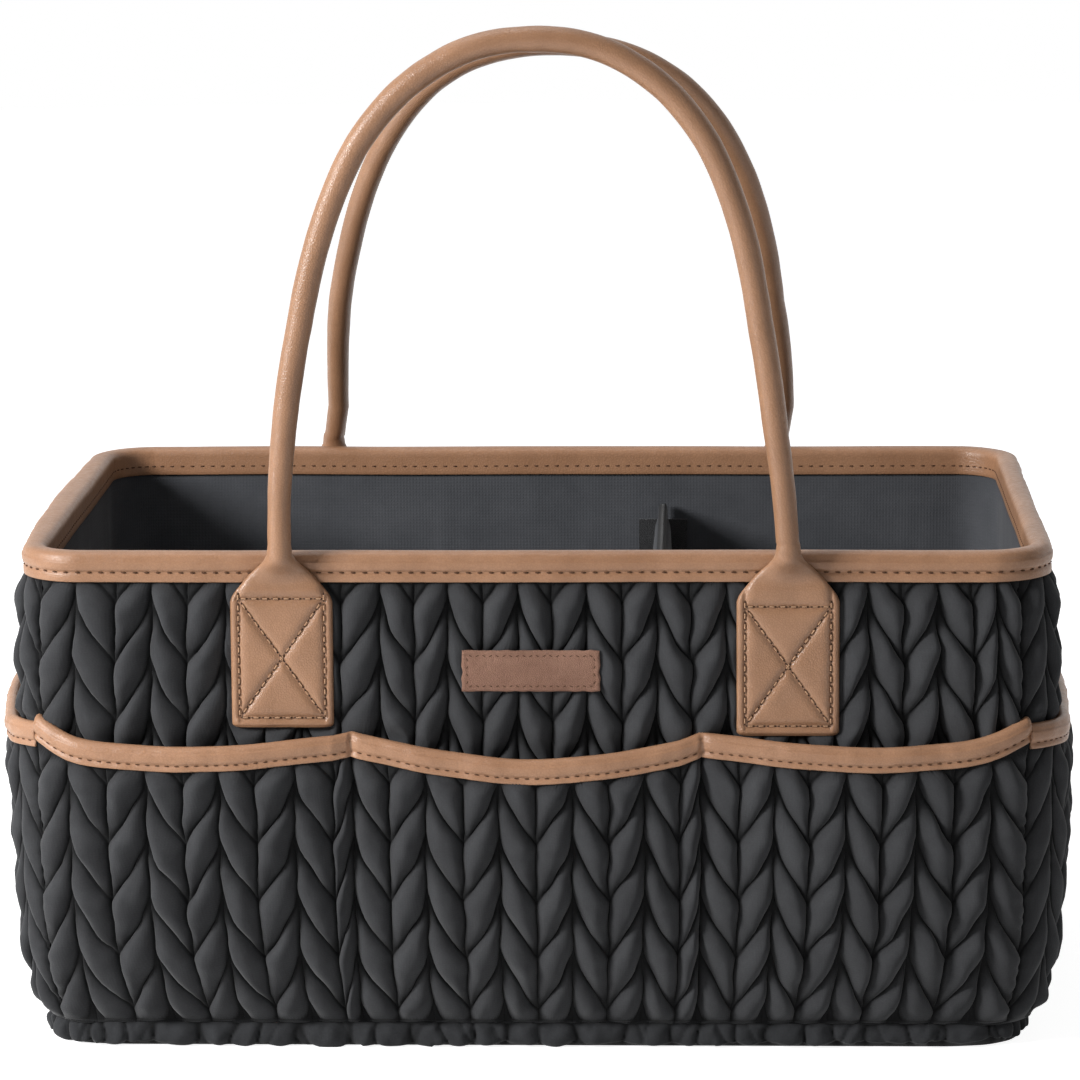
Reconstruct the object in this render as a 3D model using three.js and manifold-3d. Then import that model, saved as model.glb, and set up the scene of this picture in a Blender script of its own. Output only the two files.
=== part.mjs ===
// A fabric nappy caddy: a stiffened, lined box with quilted walls, eight outside
// pockets, two rolled leather handles and two padded dividers that lift out.
// Millimetres, +Z up, front towards -Y, origin on the floor under the middle.
import * as THREE from "three";
import { mergeVertices } from "three/addons/utils/BufferGeometryUtils.js";
import Module from "manifold-3d";

const wasm = await Module();
wasm.setup();

// Overall sizes
const rimLength = 380;
const rimDepth = 250;
const rimHeight = 188;
const rimCorner = 25;

// Clearances
const gap = 0.3;
const overrun = 2;
const weld = 1e-4;

// Wall: how far it stands out below the rim, and how far it draws in at the foot
const belly = 2.4;
const foot = 6.5;
const footPowerShare = 6;
const bellyShare = 0.73;
const stiffShare = 0.54;
const stiffShares = [0.25, 0.6, 1];
const pocketShares = [0, 0.1, 0.24, 0.5, 1];
const endBow = 1;
const seamAngle = THREE.MathUtils.degToRad(38);

// Layers of the wall, from outside to inside
const leather = 1.2;
const shellCore = 2;
const board = 2;
const boardInset = 12;
const baseBoardEase = 1.5;
const lining = 0.8;

// Quilting: pairs of leaning leaves that meet in stacked V shapes
const puff = 4.5;
const leafPitch = 21.95;
const frontColumns = 28;
const endColumns = 20;
const leafDropShare = 2;
const lowestApex = 14;
const ridgeShares = [0.32, 0.68];
const peakShares = [0.5, 0.5];
const puffEdge = 6;
const leastPuffShare = 0.3;
const hiddenStep = 4;

// Base
const baseHeight = 8.5;
const baseInset = 2.4;
const baseRound = 3;
const ripple = 0.9;
const ripplePitch = 18;
const baseBoard = 2.5;
const weltRadius = 1.2;
const weltSides = 6;

// Rim binding
const rimBand = 11.2;
const rimRound = 3;
const rimFacets = 3;

// Pockets
const pocketCore = 2;
const pocketBulge = 7;
const endBulgePower = 1.5;
const sidePocketColumns = 9;
const pocketEndDrop = 63.8;
const pocketSeamDrop = 66;
const middleDip = 8.7;
const sideDip = 5.6;
const endDip = 4;
const pocketBand = 9.2;
const pocketLeather = 1;

// Handles
const handleRadius = 4.8;
const handleSpan = 185;
const handleRise = 187.2;
const archPower = 2.3;
const coreRadius = 3.3;
const backLean = THREE.MathUtils.degToRad(22.5);
const mostTurn = THREE.MathUtils.degToRad(100);
const archSteps = 26;
const tubeSides = 10;
const cordSides = 8;
const arcSteps = 5;

// Handle tabs
const tabWidth = 37.5;
const tabHeight = 50;
const tabShoulder = 8;
const tabNeck = 3;
const tabThickness = 2.4;
const tabCorner = 1.6;
const tabLift = 2;
const tabFacets = 7;
const neckFacets = 5;
const ballFacets = 4;
const pressMargin = 7;
const pressShare = 0.75;

// Label patch
const labelLength = 50.5;
const labelHeight = 15.3;
const labelThickness = 1.2;
const labelDrop = 43.4;

// Dividers
const dividerThickness = 8;
const dividerDrop = 23;
const dividerRound = 2;
const crossPlace = 45;
const dividerBoard = 2;
const dividerClearance = 0.6;
const hook = 1.2;
const stripWidth = 20;
const stripHeight = 50;
const stripDrop = 7;

// Colours and finishes
const finishes = {
  quilt: { color: 0x3c3d3f, roughness: 0.75, metalness: 0 },
  leather: { color: 0xb08366, roughness: 0.5, metalness: 0 },
  patch: { color: 0x8f6450, roughness: 0.8, metalness: 0 },
  lining: { color: 0x474a4e, roughness: 0.85, metalness: 0 },
  board: { color: 0xd8d4c8, roughness: 0.9, metalness: 0 },
  hook: { color: 0x2c2d30, roughness: 0.95, metalness: 0 },
  cord: { color: 0xe6e0d2, roughness: 0.9, metalness: 0 },
};

// Places worked out from the sizes
const footHeight = baseHeight + gap;
const bellyHeight = rimHeight * bellyShare;
const stiffHeight = rimHeight * stiffShare;
const bandFoot = rimHeight - rimBand;
const pocketEndHeight = rimHeight - pocketEndDrop;
const pocketSeamHeight = rimHeight - pocketSeamDrop;
const labelMiddle = rimHeight - labelDrop;
const dividerTop = rimHeight - dividerDrop;
const stripTop = dividerTop - stripDrop;
const ringRadius = rimCorner - leather - gap;
const sides = {
  front: { half: rimLength / 2 - rimCorner, reach: rimDepth / 2 - leather - gap, turn: 0 },
  right: { half: rimDepth / 2 - rimCorner, reach: rimLength / 2 - leather - gap, turn: 1 },
  back: { half: rimLength / 2 - rimCorner, reach: rimDepth / 2 - leather - gap, turn: 2 },
  left: { half: rimDepth / 2 - rimCorner, reach: rimLength / 2 - leather - gap, turn: 3 },
};
for (const side of Object.values(sides)) {
  const isEnd = side.turn % 2 === 1;
  side.columns = isEnd ? endColumns : frontColumns;
  side.bow = isEnd ? endBow : 0;
  side.crownShares = side.turn === 0 ? ridgeShares : peakShares;
  side.bend = isEnd ? Math.PI / 2 - seamAngle : seamAngle;
}
const boardOut = -shellCore - gap;
const liningOut = boardOut - board - gap;
const innerFace = liningOut - lining - gap - leather;
const slotTop = rimHeight - leather - gap;
const floorTop = footHeight + baseBoard + gap + lining;
const quiltFoot = footHeight + 2 * (weltRadius + gap);
const tubeOut = rimDepth / 2 + gap + handleRadius;
const tabFoot = rimHeight - handleRadius - gap - tabNeck - tabShoulder - tabHeight;

const group = new THREE.Group();

// Adds one named mesh to the group, or to the group that is given.
function add(name, geometry, finish, parent = group) {
  const mesh = new THREE.Mesh(geometry, new THREE.MeshStandardMaterial(finishes[finish]));
  mesh.name = name;
  parent.add(mesh);
  return mesh;
}

// The wall's outer face at a height, measured outwards from the ring inside the rim.
function wallOut(z) {
  if (z >= bandFoot) return 0;
  if (z >= bellyHeight) return belly * (1 - ((z - bellyHeight) / (bandFoot - bellyHeight)) ** 2);
  return belly - (belly + foot) * ((bellyHeight - z) / (bellyHeight - footHeight)) ** footPowerShare;
}

// The same face with the outward bow of the two ends.
function faceOut(side, c, z) {
  const share = (2 * c) / side.columns - 1;
  const up = Math.min(Math.max((z - footHeight) / (bandFoot - footHeight), 0), 1);
  return wallOut(z) + side.bow * (1 - share * share) * Math.sin(Math.PI * up);
}

// The stiff layers stay upright and only draw in towards the foot.
function stiffOut(z) {
  const depth = Math.max((stiffHeight - z) / (stiffHeight - footHeight), 0);
  return -foot * depth ** 2;
}

// A point on one side of the box. share runs from -1 to 1, corner seam to corner seam,
// left to right as seen from outside; out is measured outwards from the ring.
function wallPoint(side, share, z, out) {
  const radius = ringRadius + out;
  const along = share * (side.half + radius * side.bend - gap / 2);
  let sideways = along;
  let outward = side.reach + out;
  if (Math.abs(along) > side.half) {
    const angle = (Math.abs(along) - side.half) / radius;
    sideways = Math.sign(along) * (side.half + radius * Math.sin(angle));
    outward += radius * (Math.cos(angle) - 1);
  }
  return turned(side, sideways, outward, z);
}

// Heights that the stiff layers share, from their foot to their top.
function stiffLevels(from, to = slotTop - gap) {
  const middle = stiffShares.map((share) => footHeight + share * (stiffHeight - footHeight));
  return [from, ...middle, to];
}

// Turns a place on a side, sideways and outward, into the part's own frame.
function turned(side, sideways, outward, z) {
  const places = [
    [sideways, -outward],
    [outward, sideways],
    [-sideways, outward],
    [-outward, -sideways],
  ];
  return new THREE.Vector3(...places[side.turn], z);
}

// Makes one closed mesh from a list of triangles, with its faces pointing out.
function solid(triangles) {
  const whole = triangles.filter(([a, b, c]) => !a.equals(b) && !b.equals(c) && !c.equals(a));
  const volume = whole.reduce((sum, [a, b, c]) => sum + a.dot(b.clone().cross(c)), 0);
  const points = whole.flatMap(([a, b, c]) => (volume > 0 ? [a, b, c] : [a, c, b]));
  return new THREE.BufferGeometry().setFromPoints(points);
}

// Fills the strip between two rows of points that both run the same way.
// Seen from outside, low lies below high and both run to the right.
function zip(low, high, key, place) {
  const made = [];
  let i = 0;
  let j = 0;
  while (i < low.length - 1 || j < high.length - 1) {
    const nextLow = i < low.length - 1 ? key(low[i + 1]) : Infinity;
    const nextHigh = j < high.length - 1 ? key(high[j + 1]) : Infinity;
    if (nextLow <= nextHigh) {
      made.push([low[i], low[i + 1], high[j]].map(place));
      i += 1;
    } else {
      made.push([low[i], high[j + 1], high[j]].map(place));
      j += 1;
    }
  }
  return made;
}

// The quilting's leaves over a number of columns, as triangles of flat points.
// c counts columns and z is the height; rise is 1 on a leaf's crown and 0 in its seams.
// Each leaf leans from a high corner at one seam down to a low corner at the next. Its
// crown is a ridge between two points on that slant, or one peak where they coincide.
function leaves({ columns, crownShares }, from, to) {
  const made = [];
  const first = Math.floor((from - lowestApex) / leafPitch);
  const last = Math.ceil((to - lowestApex) / leafPitch) + 2;
  for (let column = 0; column < columns; column += 1) {
    const odd = column % 2 === 1;
    for (let k = first; k <= last; k += 1) {
      const top = lowestApex + k * leafPitch;
      const at = (share, drop, rise) => ({
        c: odd ? column + share : column + 1 - share,
        z: top - drop * leafPitch,
        rise,
      });
      const [p, q] = crownShares.map((share) => at(share, leafDropShare * share, 1));
      const [high, upper, low, lower] = [at(0, 0, 0), at(1, 1, 0), at(1, leafDropShare, 0), at(0, 1, 0)];
      const leaf = [
        [high, p, upper],
        [p, q, upper],
        [upper, q, low],
        [low, q, lower],
        [q, p, lower],
        [lower, p, high],
      ];
      made.push(...(odd ? leaf : leaf.map(([a, b, c]) => [a, c, b])));
    }
  }
  return made;
}

// Keeps the part of some flat triangles where field(c) is below z, or above it.
function clip(triangles, field, keepAbove) {
  const level = (p) => (keepAbove ? p.z - field(p.c) : field(p.c) - p.z);
  const onEdge = (p, q) => {
    const [a, b] = p.c < q.c || (p.c === q.c && p.z < q.z) ? [p, q] : [q, p];
    const t = level(a) / (level(a) - level(b));
    const c = a.c + t * (b.c - a.c);
    return { c, z: field(c), rise: a.rise + t * (b.rise - a.rise), cut: true };
  };
  const made = [];
  for (const triangle of triangles) {
    const kept = [];
    triangle.forEach((p, i) => {
      const q = triangle[(i + 1) % triangle.length];
      if (level(p) >= 0) kept.push(p);
      if (level(p) >= 0 !== level(q) >= 0) kept.push(onEdge(p, q));
    });
    for (let i = 1; i < kept.length - 1; i += 1) made.push([kept[0], kept[i], kept[i + 1]]);
  }
  return made;
}

// The points of some flat triangles that lie on a line of the panel, in order.
function edgeOf(triangles, onLine, key) {
  const found = new Map();
  for (const p of triangles.flat()) {
    if (onLine(p)) found.set(Math.round(key(p) / weld), p);
  }
  return [...found.values()].sort((a, b) => key(a) - key(b));
}

// The columns that a panel's plain stretches use: all of them round the corners, and
// elsewhere only the pockets' seams and a few between.
function hiddenColumns(side) {
  const { columns } = side;
  const seams = side.turn % 2 === 1 ? [] : [sidePocketColumns, columns - sidePocketColumns];
  const spans = [0, ...seams, columns];
  const chosen = new Set([1, 2, columns - 2, columns - 1, columns]);
  spans.slice(1).forEach((to, i) => {
    const width = to - spans[i];
    const steps = Math.round(width / hiddenStep);
    for (let k = 0; k < steps; k += 1) chosen.add(Math.round(spans[i] + (k / steps) * width));
  });
  return [...chosen].sort((a, b) => a - b);
}

// A quilted panel: a smooth back, and a front with a quilted field between two heights.
// lowLevels and backLevels are heights, each a function of the column c, and topLevels
// those at the top edge, which use the columns in topColumns; face and back give the
// plain front and back at (c, z), outwards from the ring.
function quiltedPanel(panel) {
  const { side, lowLevels, backLevels, topLevels, topColumns } = panel;
  const { quiltFrom, quiltTo, face, back, rise } = panel;
  const { columns } = side;
  const near = (a, b) => Math.abs(a - b) < weld;
  const byColumn = (p) => p.c;
  const byHeight = (p) => p.z;
  const place = ({ c, z, out }) => wallPoint(side, (2 * c) / columns - 1, z, out);
  const row = (level, out, chosen = hiddenColumns(side)) =>
    chosen.map((c) => ({ c, z: level(c), out: out(c, level(c)) }));

  let field = leaves(side, quiltFrom(0) - leafPitch, rimHeight + leafPitch);
  field = clip(clip(field, quiltFrom, true), quiltTo, false);
  for (const p of field.flat()) p.out = face(p.c, p.z) + p.rise * rise(p.c, p.z);
  const fieldLow = edgeOf(field, (p) => near(p.z, quiltFrom(p.c)), byColumn);
  const fieldHigh = edgeOf(field, (p) => near(p.z, quiltTo(p.c)), byColumn);
  const lowRows = lowLevels.map((level) => row(level, face));
  const highRows = topLevels.map((level) => row(level, face, topColumns));
  const backRows = [
    ...backLevels.map((level) => row(level, back)),
    ...topLevels.map((level) => row(level, back, topColumns)),
  ];

  const made = field.map((t) => t.map(place));
  const strips = (rows) => {
    rows.slice(1).forEach((r, i) => made.push(...zip(rows[i], r, byColumn, place)));
  };
  strips([...lowRows, fieldLow]);
  strips([fieldHigh, ...highRows]);
  strips([...backRows].reverse());
  made.push(...zip(backRows[0], lowRows[0], byColumn, place));
  made.push(...zip(highRows[1], backRows[backRows.length - 1], byColumn, place));
  for (const c of [0, columns]) {
    const inField = edgeOf(field, (p) => near(p.c, c), byHeight);
    const end = (rows) => rows.map((r) => r[c === 0 ? 0 : r.length - 1]);
    const front = [...end(lowRows), ...inField, ...end(highRows)];
    const behind = end(backRows);
    const [low, high] = c === 0 ? [front, behind] : [behind, front];
    made.push(...zip(low, high, byHeight, place));
  }
  return solid(made);
}

// Joins loops of points into one closed body: along a path, or round a ring.
function loft(loops, closed) {
  const made = [];
  const count = closed ? loops.length : loops.length - 1;
  for (let i = 0; i < count; i += 1) {
    const a = loops[i];
    const b = loops[(i + 1) % loops.length];
    a.forEach((p, j) => {
      const k = (j + 1) % a.length;
      made.push([p, a[k], b[k]], [p, b[k], b[j]]);
    });
  }
  if (!closed) {
    made.push(...cap(loops[0]).map(([a, b, c]) => [a, c, b]));
    made.push(...cap(loops[loops.length - 1]));
  }
  return solid(made);
}

// Fills a flat loop with triangles that run the way the loop does.
function cap(loop) {
  const [a, b] = [loop[0], loop[1]];
  const middle = loop.reduce((sum, p) => sum.add(p), new THREE.Vector3()).divideScalar(loop.length);
  const normal = new THREE.Vector3();
  loop.forEach((p, i) => {
    const q = loop[(i + 1) % loop.length];
    normal.add(p.clone().sub(middle).cross(q.clone().sub(middle)));
  });
  normal.normalize();
  const u = b.clone().sub(a).normalize();
  const v = normal.clone().cross(u);
  const flat = loop.map((p) => new THREE.Vector2(p.clone().sub(a).dot(u), p.clone().sub(a).dot(v)));
  return THREE.ShapeUtils.triangulateShape(flat, []).map((t) => t.map((i) => loop[i]));
}

// Points right round the box at a distance outwards from the ring, corner arcs included.
function ringLoop(out, z) {
  const loop = [];
  for (const side of Object.values(sides)) {
    const radius = ringRadius + out;
    for (let i = 0; i <= arcSteps; i += 1) {
      const angle = (i / arcSteps) * (Math.PI / 2);
      const sideways = side.half + radius * Math.sin(angle);
      loop.push(turned(side, sideways, side.reach - ringRadius + radius * Math.cos(angle), z));
    }
  }
  return loop;
}

// The point at a distance along the ring, from the middle of the front, anticlockwise.
function ringAt(out, distance, z) {
  const radius = ringRadius - baseInset;
  const arc = (radius * Math.PI) / 2;
  const order = Object.values(sides);
  let left = distance + order[0].half;
  for (const side of [...order, ...order]) {
    const length = 2 * side.half;
    if (left <= length) return turned(side, left - side.half, side.reach + out, z);
    left -= length;
    if (left <= arc) {
      const angle = left / radius;
      const reach = side.reach - ringRadius + (ringRadius + out) * Math.cos(angle);
      return turned(side, side.half + (ringRadius + out) * Math.sin(angle), reach, z);
    }
    left -= arc;
  }
  return turned(order[0], 0, order[0].reach + out, z);
}

// A geometry as a solid for cuts and joins, and back again.
function toSolid(geometry) {
  const bare = geometry.clone();
  bare.deleteAttribute("normal");
  bare.deleteAttribute("uv");
  const merged = mergeVertices(bare, weld);
  return new wasm.Manifold(
    new wasm.Mesh({
      numProp: 3,
      vertProperties: merged.attributes.position.array,
      triVerts: new Uint32Array(merged.index.array),
    }),
  );
}

function fromSolid(made) {
  const mesh = made.getMesh();
  return new THREE.BufferGeometry()
    .setAttribute("position", new THREE.BufferAttribute(mesh.vertProperties, 3))
    .setIndex(new THREE.BufferAttribute(mesh.triVerts, 1));
}

// Height of a pocket's top edge at a column: a dip between each pair of dividing seams.
function pocketTop(side, c) {
  if (side.turn % 2 === 1) {
    return pocketEndHeight - endDip * Math.sin((Math.PI * c) / side.columns);
  }
  const [from, to, low, high, dip] = pocketSpan(side, c);
  const share = (c - from) / (to - from);
  return low + (high - low) * share - dip * Math.sin(Math.PI * share);
}

// The pocket that a column lies in: its two seams, their heights and its dip.
function pocketSpan(side, c) {
  const { columns } = side;
  const [one, two] = [sidePocketColumns, columns - sidePocketColumns];
  if (c < one) return [0, one, pocketEndHeight, pocketSeamHeight, sideDip];
  if (c > two) return [two, columns, pocketSeamHeight, pocketEndHeight, sideDip];
  return [one, two, pocketSeamHeight, pocketSeamHeight, middleDip];
}

// How far a pocket's back stands off the wall behind it. Its band is folded over the
// top edge, so there is room for the leather behind it even where it is sewn down.
function pocketSpace(side, c, z) {
  const isEnd = side.turn % 2 === 1;
  const [from, to] = isEnd ? [0, side.columns] : pocketSpan(side, c);
  const across = Math.sin((Math.PI * (c - from)) / (to - from)) ** (isEnd ? endBulgePower : 1);
  const depth = (pocketTop(side, c) - z) / (pocketTop(side, c) - quiltFoot);
  const up = 1 - Math.min(Math.max(depth, 0), 1) ** 3;
  return gap + (gap + pocketLeather + pocketBulge * across) * up;
}

// Heights that the pocket panels and the walls behind them share.
function pocketLevels(side) {
  const bandFootAt = (c) => pocketTop(side, c) - pocketBand;
  const lower = pocketShares.map((share) => (c) => footHeight + share * (bandFootAt(c) - footHeight));
  return [...lower, (c) => pocketTop(side, c) - pocketLeather - gap];
}

// Puffs sink towards a seam at the edge of a panel.
function nearEdge(distance) {
  return Math.min(Math.max(distance / puffEdge, leastPuffShare), 1);
}

// Puffs lie pressed flat under the handle tabs and the label.
function pressed(side, c, z) {
  if (side.turn % 2 === 1) return 1;
  const x = Math.abs(wallPoint(side, (2 * c) / side.columns - 1, z, 0).x);
  const besideTab = Math.abs(x - handleSpan / 2) < tabWidth / 2 + pressMargin;
  const underTab = besideTab && z > tabFoot - leafPitch * pressShare;
  const onLabel = Math.abs(z - labelMiddle) < labelHeight / 2 + leafPitch * pressShare;
  const underLabel = side.turn === 0 && onLabel && x < labelLength / 2 + pressMargin;
  return underTab || underLabel ? (tabLift - gap) / puff : 1;
}

// Quilted walls of the box
for (const [name, side] of Object.entries(sides)) {
  const wallFoot = (c) => pocketTop(side, c) + gap;
  const geometry = quiltedPanel({
    side,
    lowLevels: [...pocketLevels(side), (c) => pocketTop(side, c)],
    backLevels: stiffLevels(footHeight).slice(0, -1).map((z) => () => z),
    topLevels: [bandFoot, slotTop - gap].map((z) => () => z),
    topColumns: hiddenColumns(side),
    quiltFrom: wallFoot,
    quiltTo: () => bandFoot - gap,
    face: (c, z) => faceOut(side, c, z),
    back: (c, z) => stiffOut(z) - shellCore,
    rise: (c, z) => puff * nearEdge(Math.min(bandFoot - z, z - wallFoot(c))) * pressed(side, c, z),
  });
  add(`${name}_wall_quilt`, geometry, "quilt");
}

// Quilted pocket panels
for (const [name, side] of Object.entries(sides)) {
  const bandEdge = (c) => pocketTop(side, c) - pocketBand - gap;
  const geometry = quiltedPanel({
    side,
    lowLevels: [() => footHeight, () => quiltFoot - gap],
    backLevels: pocketLevels(side).slice(0, -2),
    topLevels: pocketLevels(side).slice(-2),
    topColumns: Array.from({ length: side.columns + 1 }, (_, c) => c),
    quiltFrom: () => quiltFoot,
    quiltTo: bandEdge,
    face: (c, z) => faceOut(side, c, z) + pocketSpace(side, c, z) + pocketCore,
    back: (c, z) => faceOut(side, c, z) + pocketSpace(side, c, z),
    rise: (c, z) => puff * nearEdge(Math.min(bandEdge(c) - z, z - quiltFoot)),
  });
  add(`${name}_pocket_panel`, geometry, "quilt");
}

// Leather bands folded over the pockets' top edges, one along each side
for (const [name, side] of Object.entries(sides)) {
  const loops = Array.from({ length: side.columns + 1 }, (_, c) => {
    const top = pocketTop(side, c);
    const foot = top - pocketBand;
    const fold = top - pocketLeather;
    const inner = faceOut(side, c, fold) + pocketSpace(side, c, fold);
    const outer = inner + pocketCore;
    const innerFoot = faceOut(side, c, foot) + pocketSpace(side, c, foot);
    const outerFoot = innerFoot + pocketCore;
    const section = [
      [outerFoot + gap, foot],
      [outerFoot + gap + pocketLeather, foot],
      [outer + gap + pocketLeather, fold],
      [outer, top],
      [inner, top],
      [inner - gap - pocketLeather, fold],
      [innerFoot - gap - pocketLeather, foot],
      [innerFoot - gap, foot],
      [inner - gap, fold],
      [outer + gap, fold],
    ];
    return section.map(([out, z]) => wallPoint(side, (2 * c) / side.columns - 1, z, out));
  });
  add(`${name}_pocket_band`, loft(loops, false), "leather");
}

// Leather band folded over the rim, right round
function rimSection() {
  const outer = leather + gap;
  const corner = (middle, from) =>
    Array.from({ length: rimFacets + 1 }, (_, i) => {
      const angle = from + (i / rimFacets) * (Math.PI / 2);
      return [middle + rimRound * Math.cos(angle), rimHeight - rimRound + rimRound * Math.sin(angle)];
    });
  return [
    [outer, bandFoot],
    ...corner(outer - rimRound, 0),
    ...corner(innerFace + rimRound, Math.PI / 2),
    [innerFace, bandFoot],
    [innerFace + leather, bandFoot],
    [innerFace + leather, slotTop],
    [gap, slotTop],
    [gap, bandFoot],
  ];
}
const rimLoops = rimSection().map(([out, z]) => ringLoop(out, z));
add("rim_band", loft(rimLoops, true), "leather");

// Stiffener boards between the quilted walls and the lining, one on each flat side
for (const [name, side] of Object.entries(sides)) {
  const loops = stiffLevels(footHeight + baseBoard + gap, slotTop - gap).map((z) => {
    const out = stiffOut(z) + boardOut + side.reach;
    const half = side.half - boardInset;
    const corners = [
      [-half, out],
      [half, out],
      [half, out - board],
      [-half, out - board],
    ];
    return corners.map(([sideways, outward]) => turned(side, sideways, outward, z));
  });
  add(`${name}_stiffener`, loft(loops, false), "board");
}

// Lining bag: floor and walls in one, open at the top
const liningLevels = stiffLevels(floorTop - lining);
const liningInside = [floorTop, ...liningLevels.slice(1)].map((z) =>
  ringLoop(stiffOut(z) + liningOut - lining, z),
);
const liningOutside = liningLevels.map((z) => ringLoop(stiffOut(z) + liningOut, z));
add("lining_bag", loft([...liningInside, ...liningOutside.reverse()], false), "lining");

// Board under the lining's floor
const baseBoardOut = stiffOut(footHeight) - shellCore - baseBoardEase;
const baseBoardLoops = [footHeight, footHeight + baseBoard].map((z) => ringLoop(baseBoardOut, z));
add("base_board", loft(baseBoardLoops, false), "board");

// Padded base with its ruched edge
const basePerimeter = 4 * (sides.front.half + sides.right.half) + 2 * Math.PI * (ringRadius - baseInset);
const ripples = Math.round(basePerimeter / ripplePitch);
function ruchedLoop(out, z, depth) {
  return Array.from({ length: 2 * ripples }, (_, i) => {
    const distance = (i / (2 * ripples)) * basePerimeter;
    return ringAt(out + (i % 2 === 0 ? depth : -depth), distance, z);
  });
}
const baseLoops = [
  ruchedLoop(-baseInset - baseRound, 0, 0),
  ruchedLoop(-baseInset, baseRound, ripple),
  ruchedLoop(-baseInset, baseHeight - baseRound, ripple),
  ruchedLoop(-baseInset - baseRound / 2, baseHeight, 0),
];
add("base_pad", loft(baseLoops, false), "quilt");

// Welt cord in the seam between the base and the pockets
const pocketFace = faceOut(sides.right, endColumns / 2, quiltFoot) + gap + pocketCore;
const weltOut = pocketFace + gap + weltRadius;
const weltHeight = footHeight + weltRadius;
const weltLoops = Array.from({ length: weltSides }, (_, i) => {
  const angle = (i / weltSides) * 2 * Math.PI;
  return ringLoop(weltOut + weltRadius * Math.cos(angle), weltHeight + weltRadius * Math.sin(angle));
});
add("base_welt", loft(weltLoops, true), "quilt");

// Handle tabs: a flat sewn patch that draws in to a round neck at the rim
const tabOut = sides.front.reach + belly + tabLift;
const neckTop = rimHeight - handleRadius - gap;
function tabGeometry() {
  const half = tabWidth / 2;
  const neckPlace = neckTop - tabNeck;
  const outline = new THREE.Shape()
    .moveTo(-half + tabCorner, tabFoot)
    .lineTo(half - tabCorner, tabFoot)
    .quadraticCurveTo(half, tabFoot, half, tabFoot + tabCorner)
    .lineTo(half, tabFoot + tabHeight)
    .bezierCurveTo(
      half, tabFoot + tabHeight + tabShoulder / 2,
      handleRadius, neckPlace - tabShoulder / 2,
      handleRadius, neckPlace,
    )
    .lineTo(-handleRadius, neckPlace)
    .bezierCurveTo(
      -handleRadius, neckPlace - tabShoulder / 2,
      -half, tabFoot + tabHeight + tabShoulder / 2,
      -half, tabFoot + tabHeight,
    )
    .lineTo(-half, tabFoot + tabCorner)
    .quadraticCurveTo(-half, tabFoot, -half + tabCorner, tabFoot);
  const plate = new THREE.ExtrudeGeometry(outline, {
    depth: tabThickness,
    bevelEnabled: false,
    curveSegments: tabFacets,
  });
  plate.rotateX(Math.PI / 2).translate(0, -tabOut, 0);
  const length = neckTop + overrun - (tabFoot + tabHeight - tabShoulder);
  const profile = Array.from({ length: neckFacets + 1 }, (_, i) => {
    const share = i / neckFacets;
    return new THREE.Vector2(handleRadius * Math.sin((share * Math.PI) / 2), share * length);
  });
  profile.push(new THREE.Vector2(0, length));
  const neck = new THREE.LatheGeometry(profile, tubeSides)
    .rotateX(Math.PI / 2)
    .translate(0, -tubeOut, neckTop + overrun - length);
  const slope = new THREE.BoxGeometry(tabWidth, tabWidth, tabWidth)
    .translate(0, 0, tabWidth / 2)
    .rotateX(mostTurn - Math.PI / 2)
    .translate(0, -tubeOut, neckTop);
  return fromSolid(toSolid(plate).add(toSolid(neck)).subtract(toSolid(slope)));
}
for (const [name, turn] of [["front", 0], ["back", Math.PI]]) {
  for (const [hand, sign] of [["left", -1], ["right", 1]]) {
    const tab = add(`${name}_${hand}_handle_tab`, tabGeometry().rotateZ(turn), "leather");
    tab.position.x = (sign * handleSpan) / 2;
  }
}

// Bare leather patch on the front
const patch = new THREE.BoxGeometry(labelLength, labelThickness, labelHeight);
patch.translate(0, -tabOut - labelThickness / 2, labelMiddle);
add("front_patch", patch, "patch");

// The middle line of a handle: a squarish arch from one neck to the other
class HandleArch extends THREE.Curve {
  getPoint(t) {
    const angle = Math.PI * (1 - t);
    const power = 2 / archPower;
    const x = Math.sign(Math.cos(angle)) * Math.abs(Math.cos(angle)) ** power;
    const z = Math.abs(Math.sin(angle)) ** power;
    return new THREE.Vector3((x * handleSpan) / 2, 0, z * handleRise);
  }
}
const arch = new HandleArch();
arch.arcLengthDivisions = 20 * archSteps;

function archTube(outer, inner, facets) {
  const section = new THREE.Shape().absarc(0, 0, outer, 0, 2 * Math.PI);
  if (inner) section.holes.push(new THREE.Path().absarc(0, 0, inner, 0, 2 * Math.PI, true));
  return new THREE.ExtrudeGeometry(section, {
    steps: archSteps,
    curveSegments: facets / 2,
    extrudePath: arch,
  });
}

// The cord's end: a half ball that sits in the neck, with a stub up into the cord
function cordEnd() {
  const profile = Array.from({ length: ballFacets + 1 }, (_, i) => {
    const angle = (i / ballFacets) * (Math.PI / 2);
    const depth = gap + (handleRadius - gap) * Math.cos(angle);
    return new THREE.Vector2(handleRadius * Math.sin(angle), -depth);
  });
  const stub = coreRadius - gap;
  for (const place of [[stub, -gap], [stub, overrun], [0, overrun]]) {
    profile.push(new THREE.Vector2(...place));
  }
  return new THREE.LatheGeometry(profile, cordSides).rotateX(Math.PI / 2);
}

const coreGeometry = fromSolid(
  toSolid(archTube(coreRadius, 0, cordSides))
    .add(toSolid(cordEnd().translate(-handleSpan / 2, 0, 0)))
    .add(toSolid(cordEnd().translate(handleSpan / 2, 0, 0))),
);
for (const [name, way, lean] of [["front", -1, 0], ["back", 1, backLean]]) {
  const handle = new THREE.Group();
  handle.position.set(0, way * tubeOut, rimHeight);
  handle.rotation.x = lean;
  add(`${name}_handle_cover`, archTube(handleRadius, handleRadius - leather, tubeSides), "leather", handle);
  add(`${name}_handle_cord`, coreGeometry.clone(), "cord", handle);
  group.add(handle);
}

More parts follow.
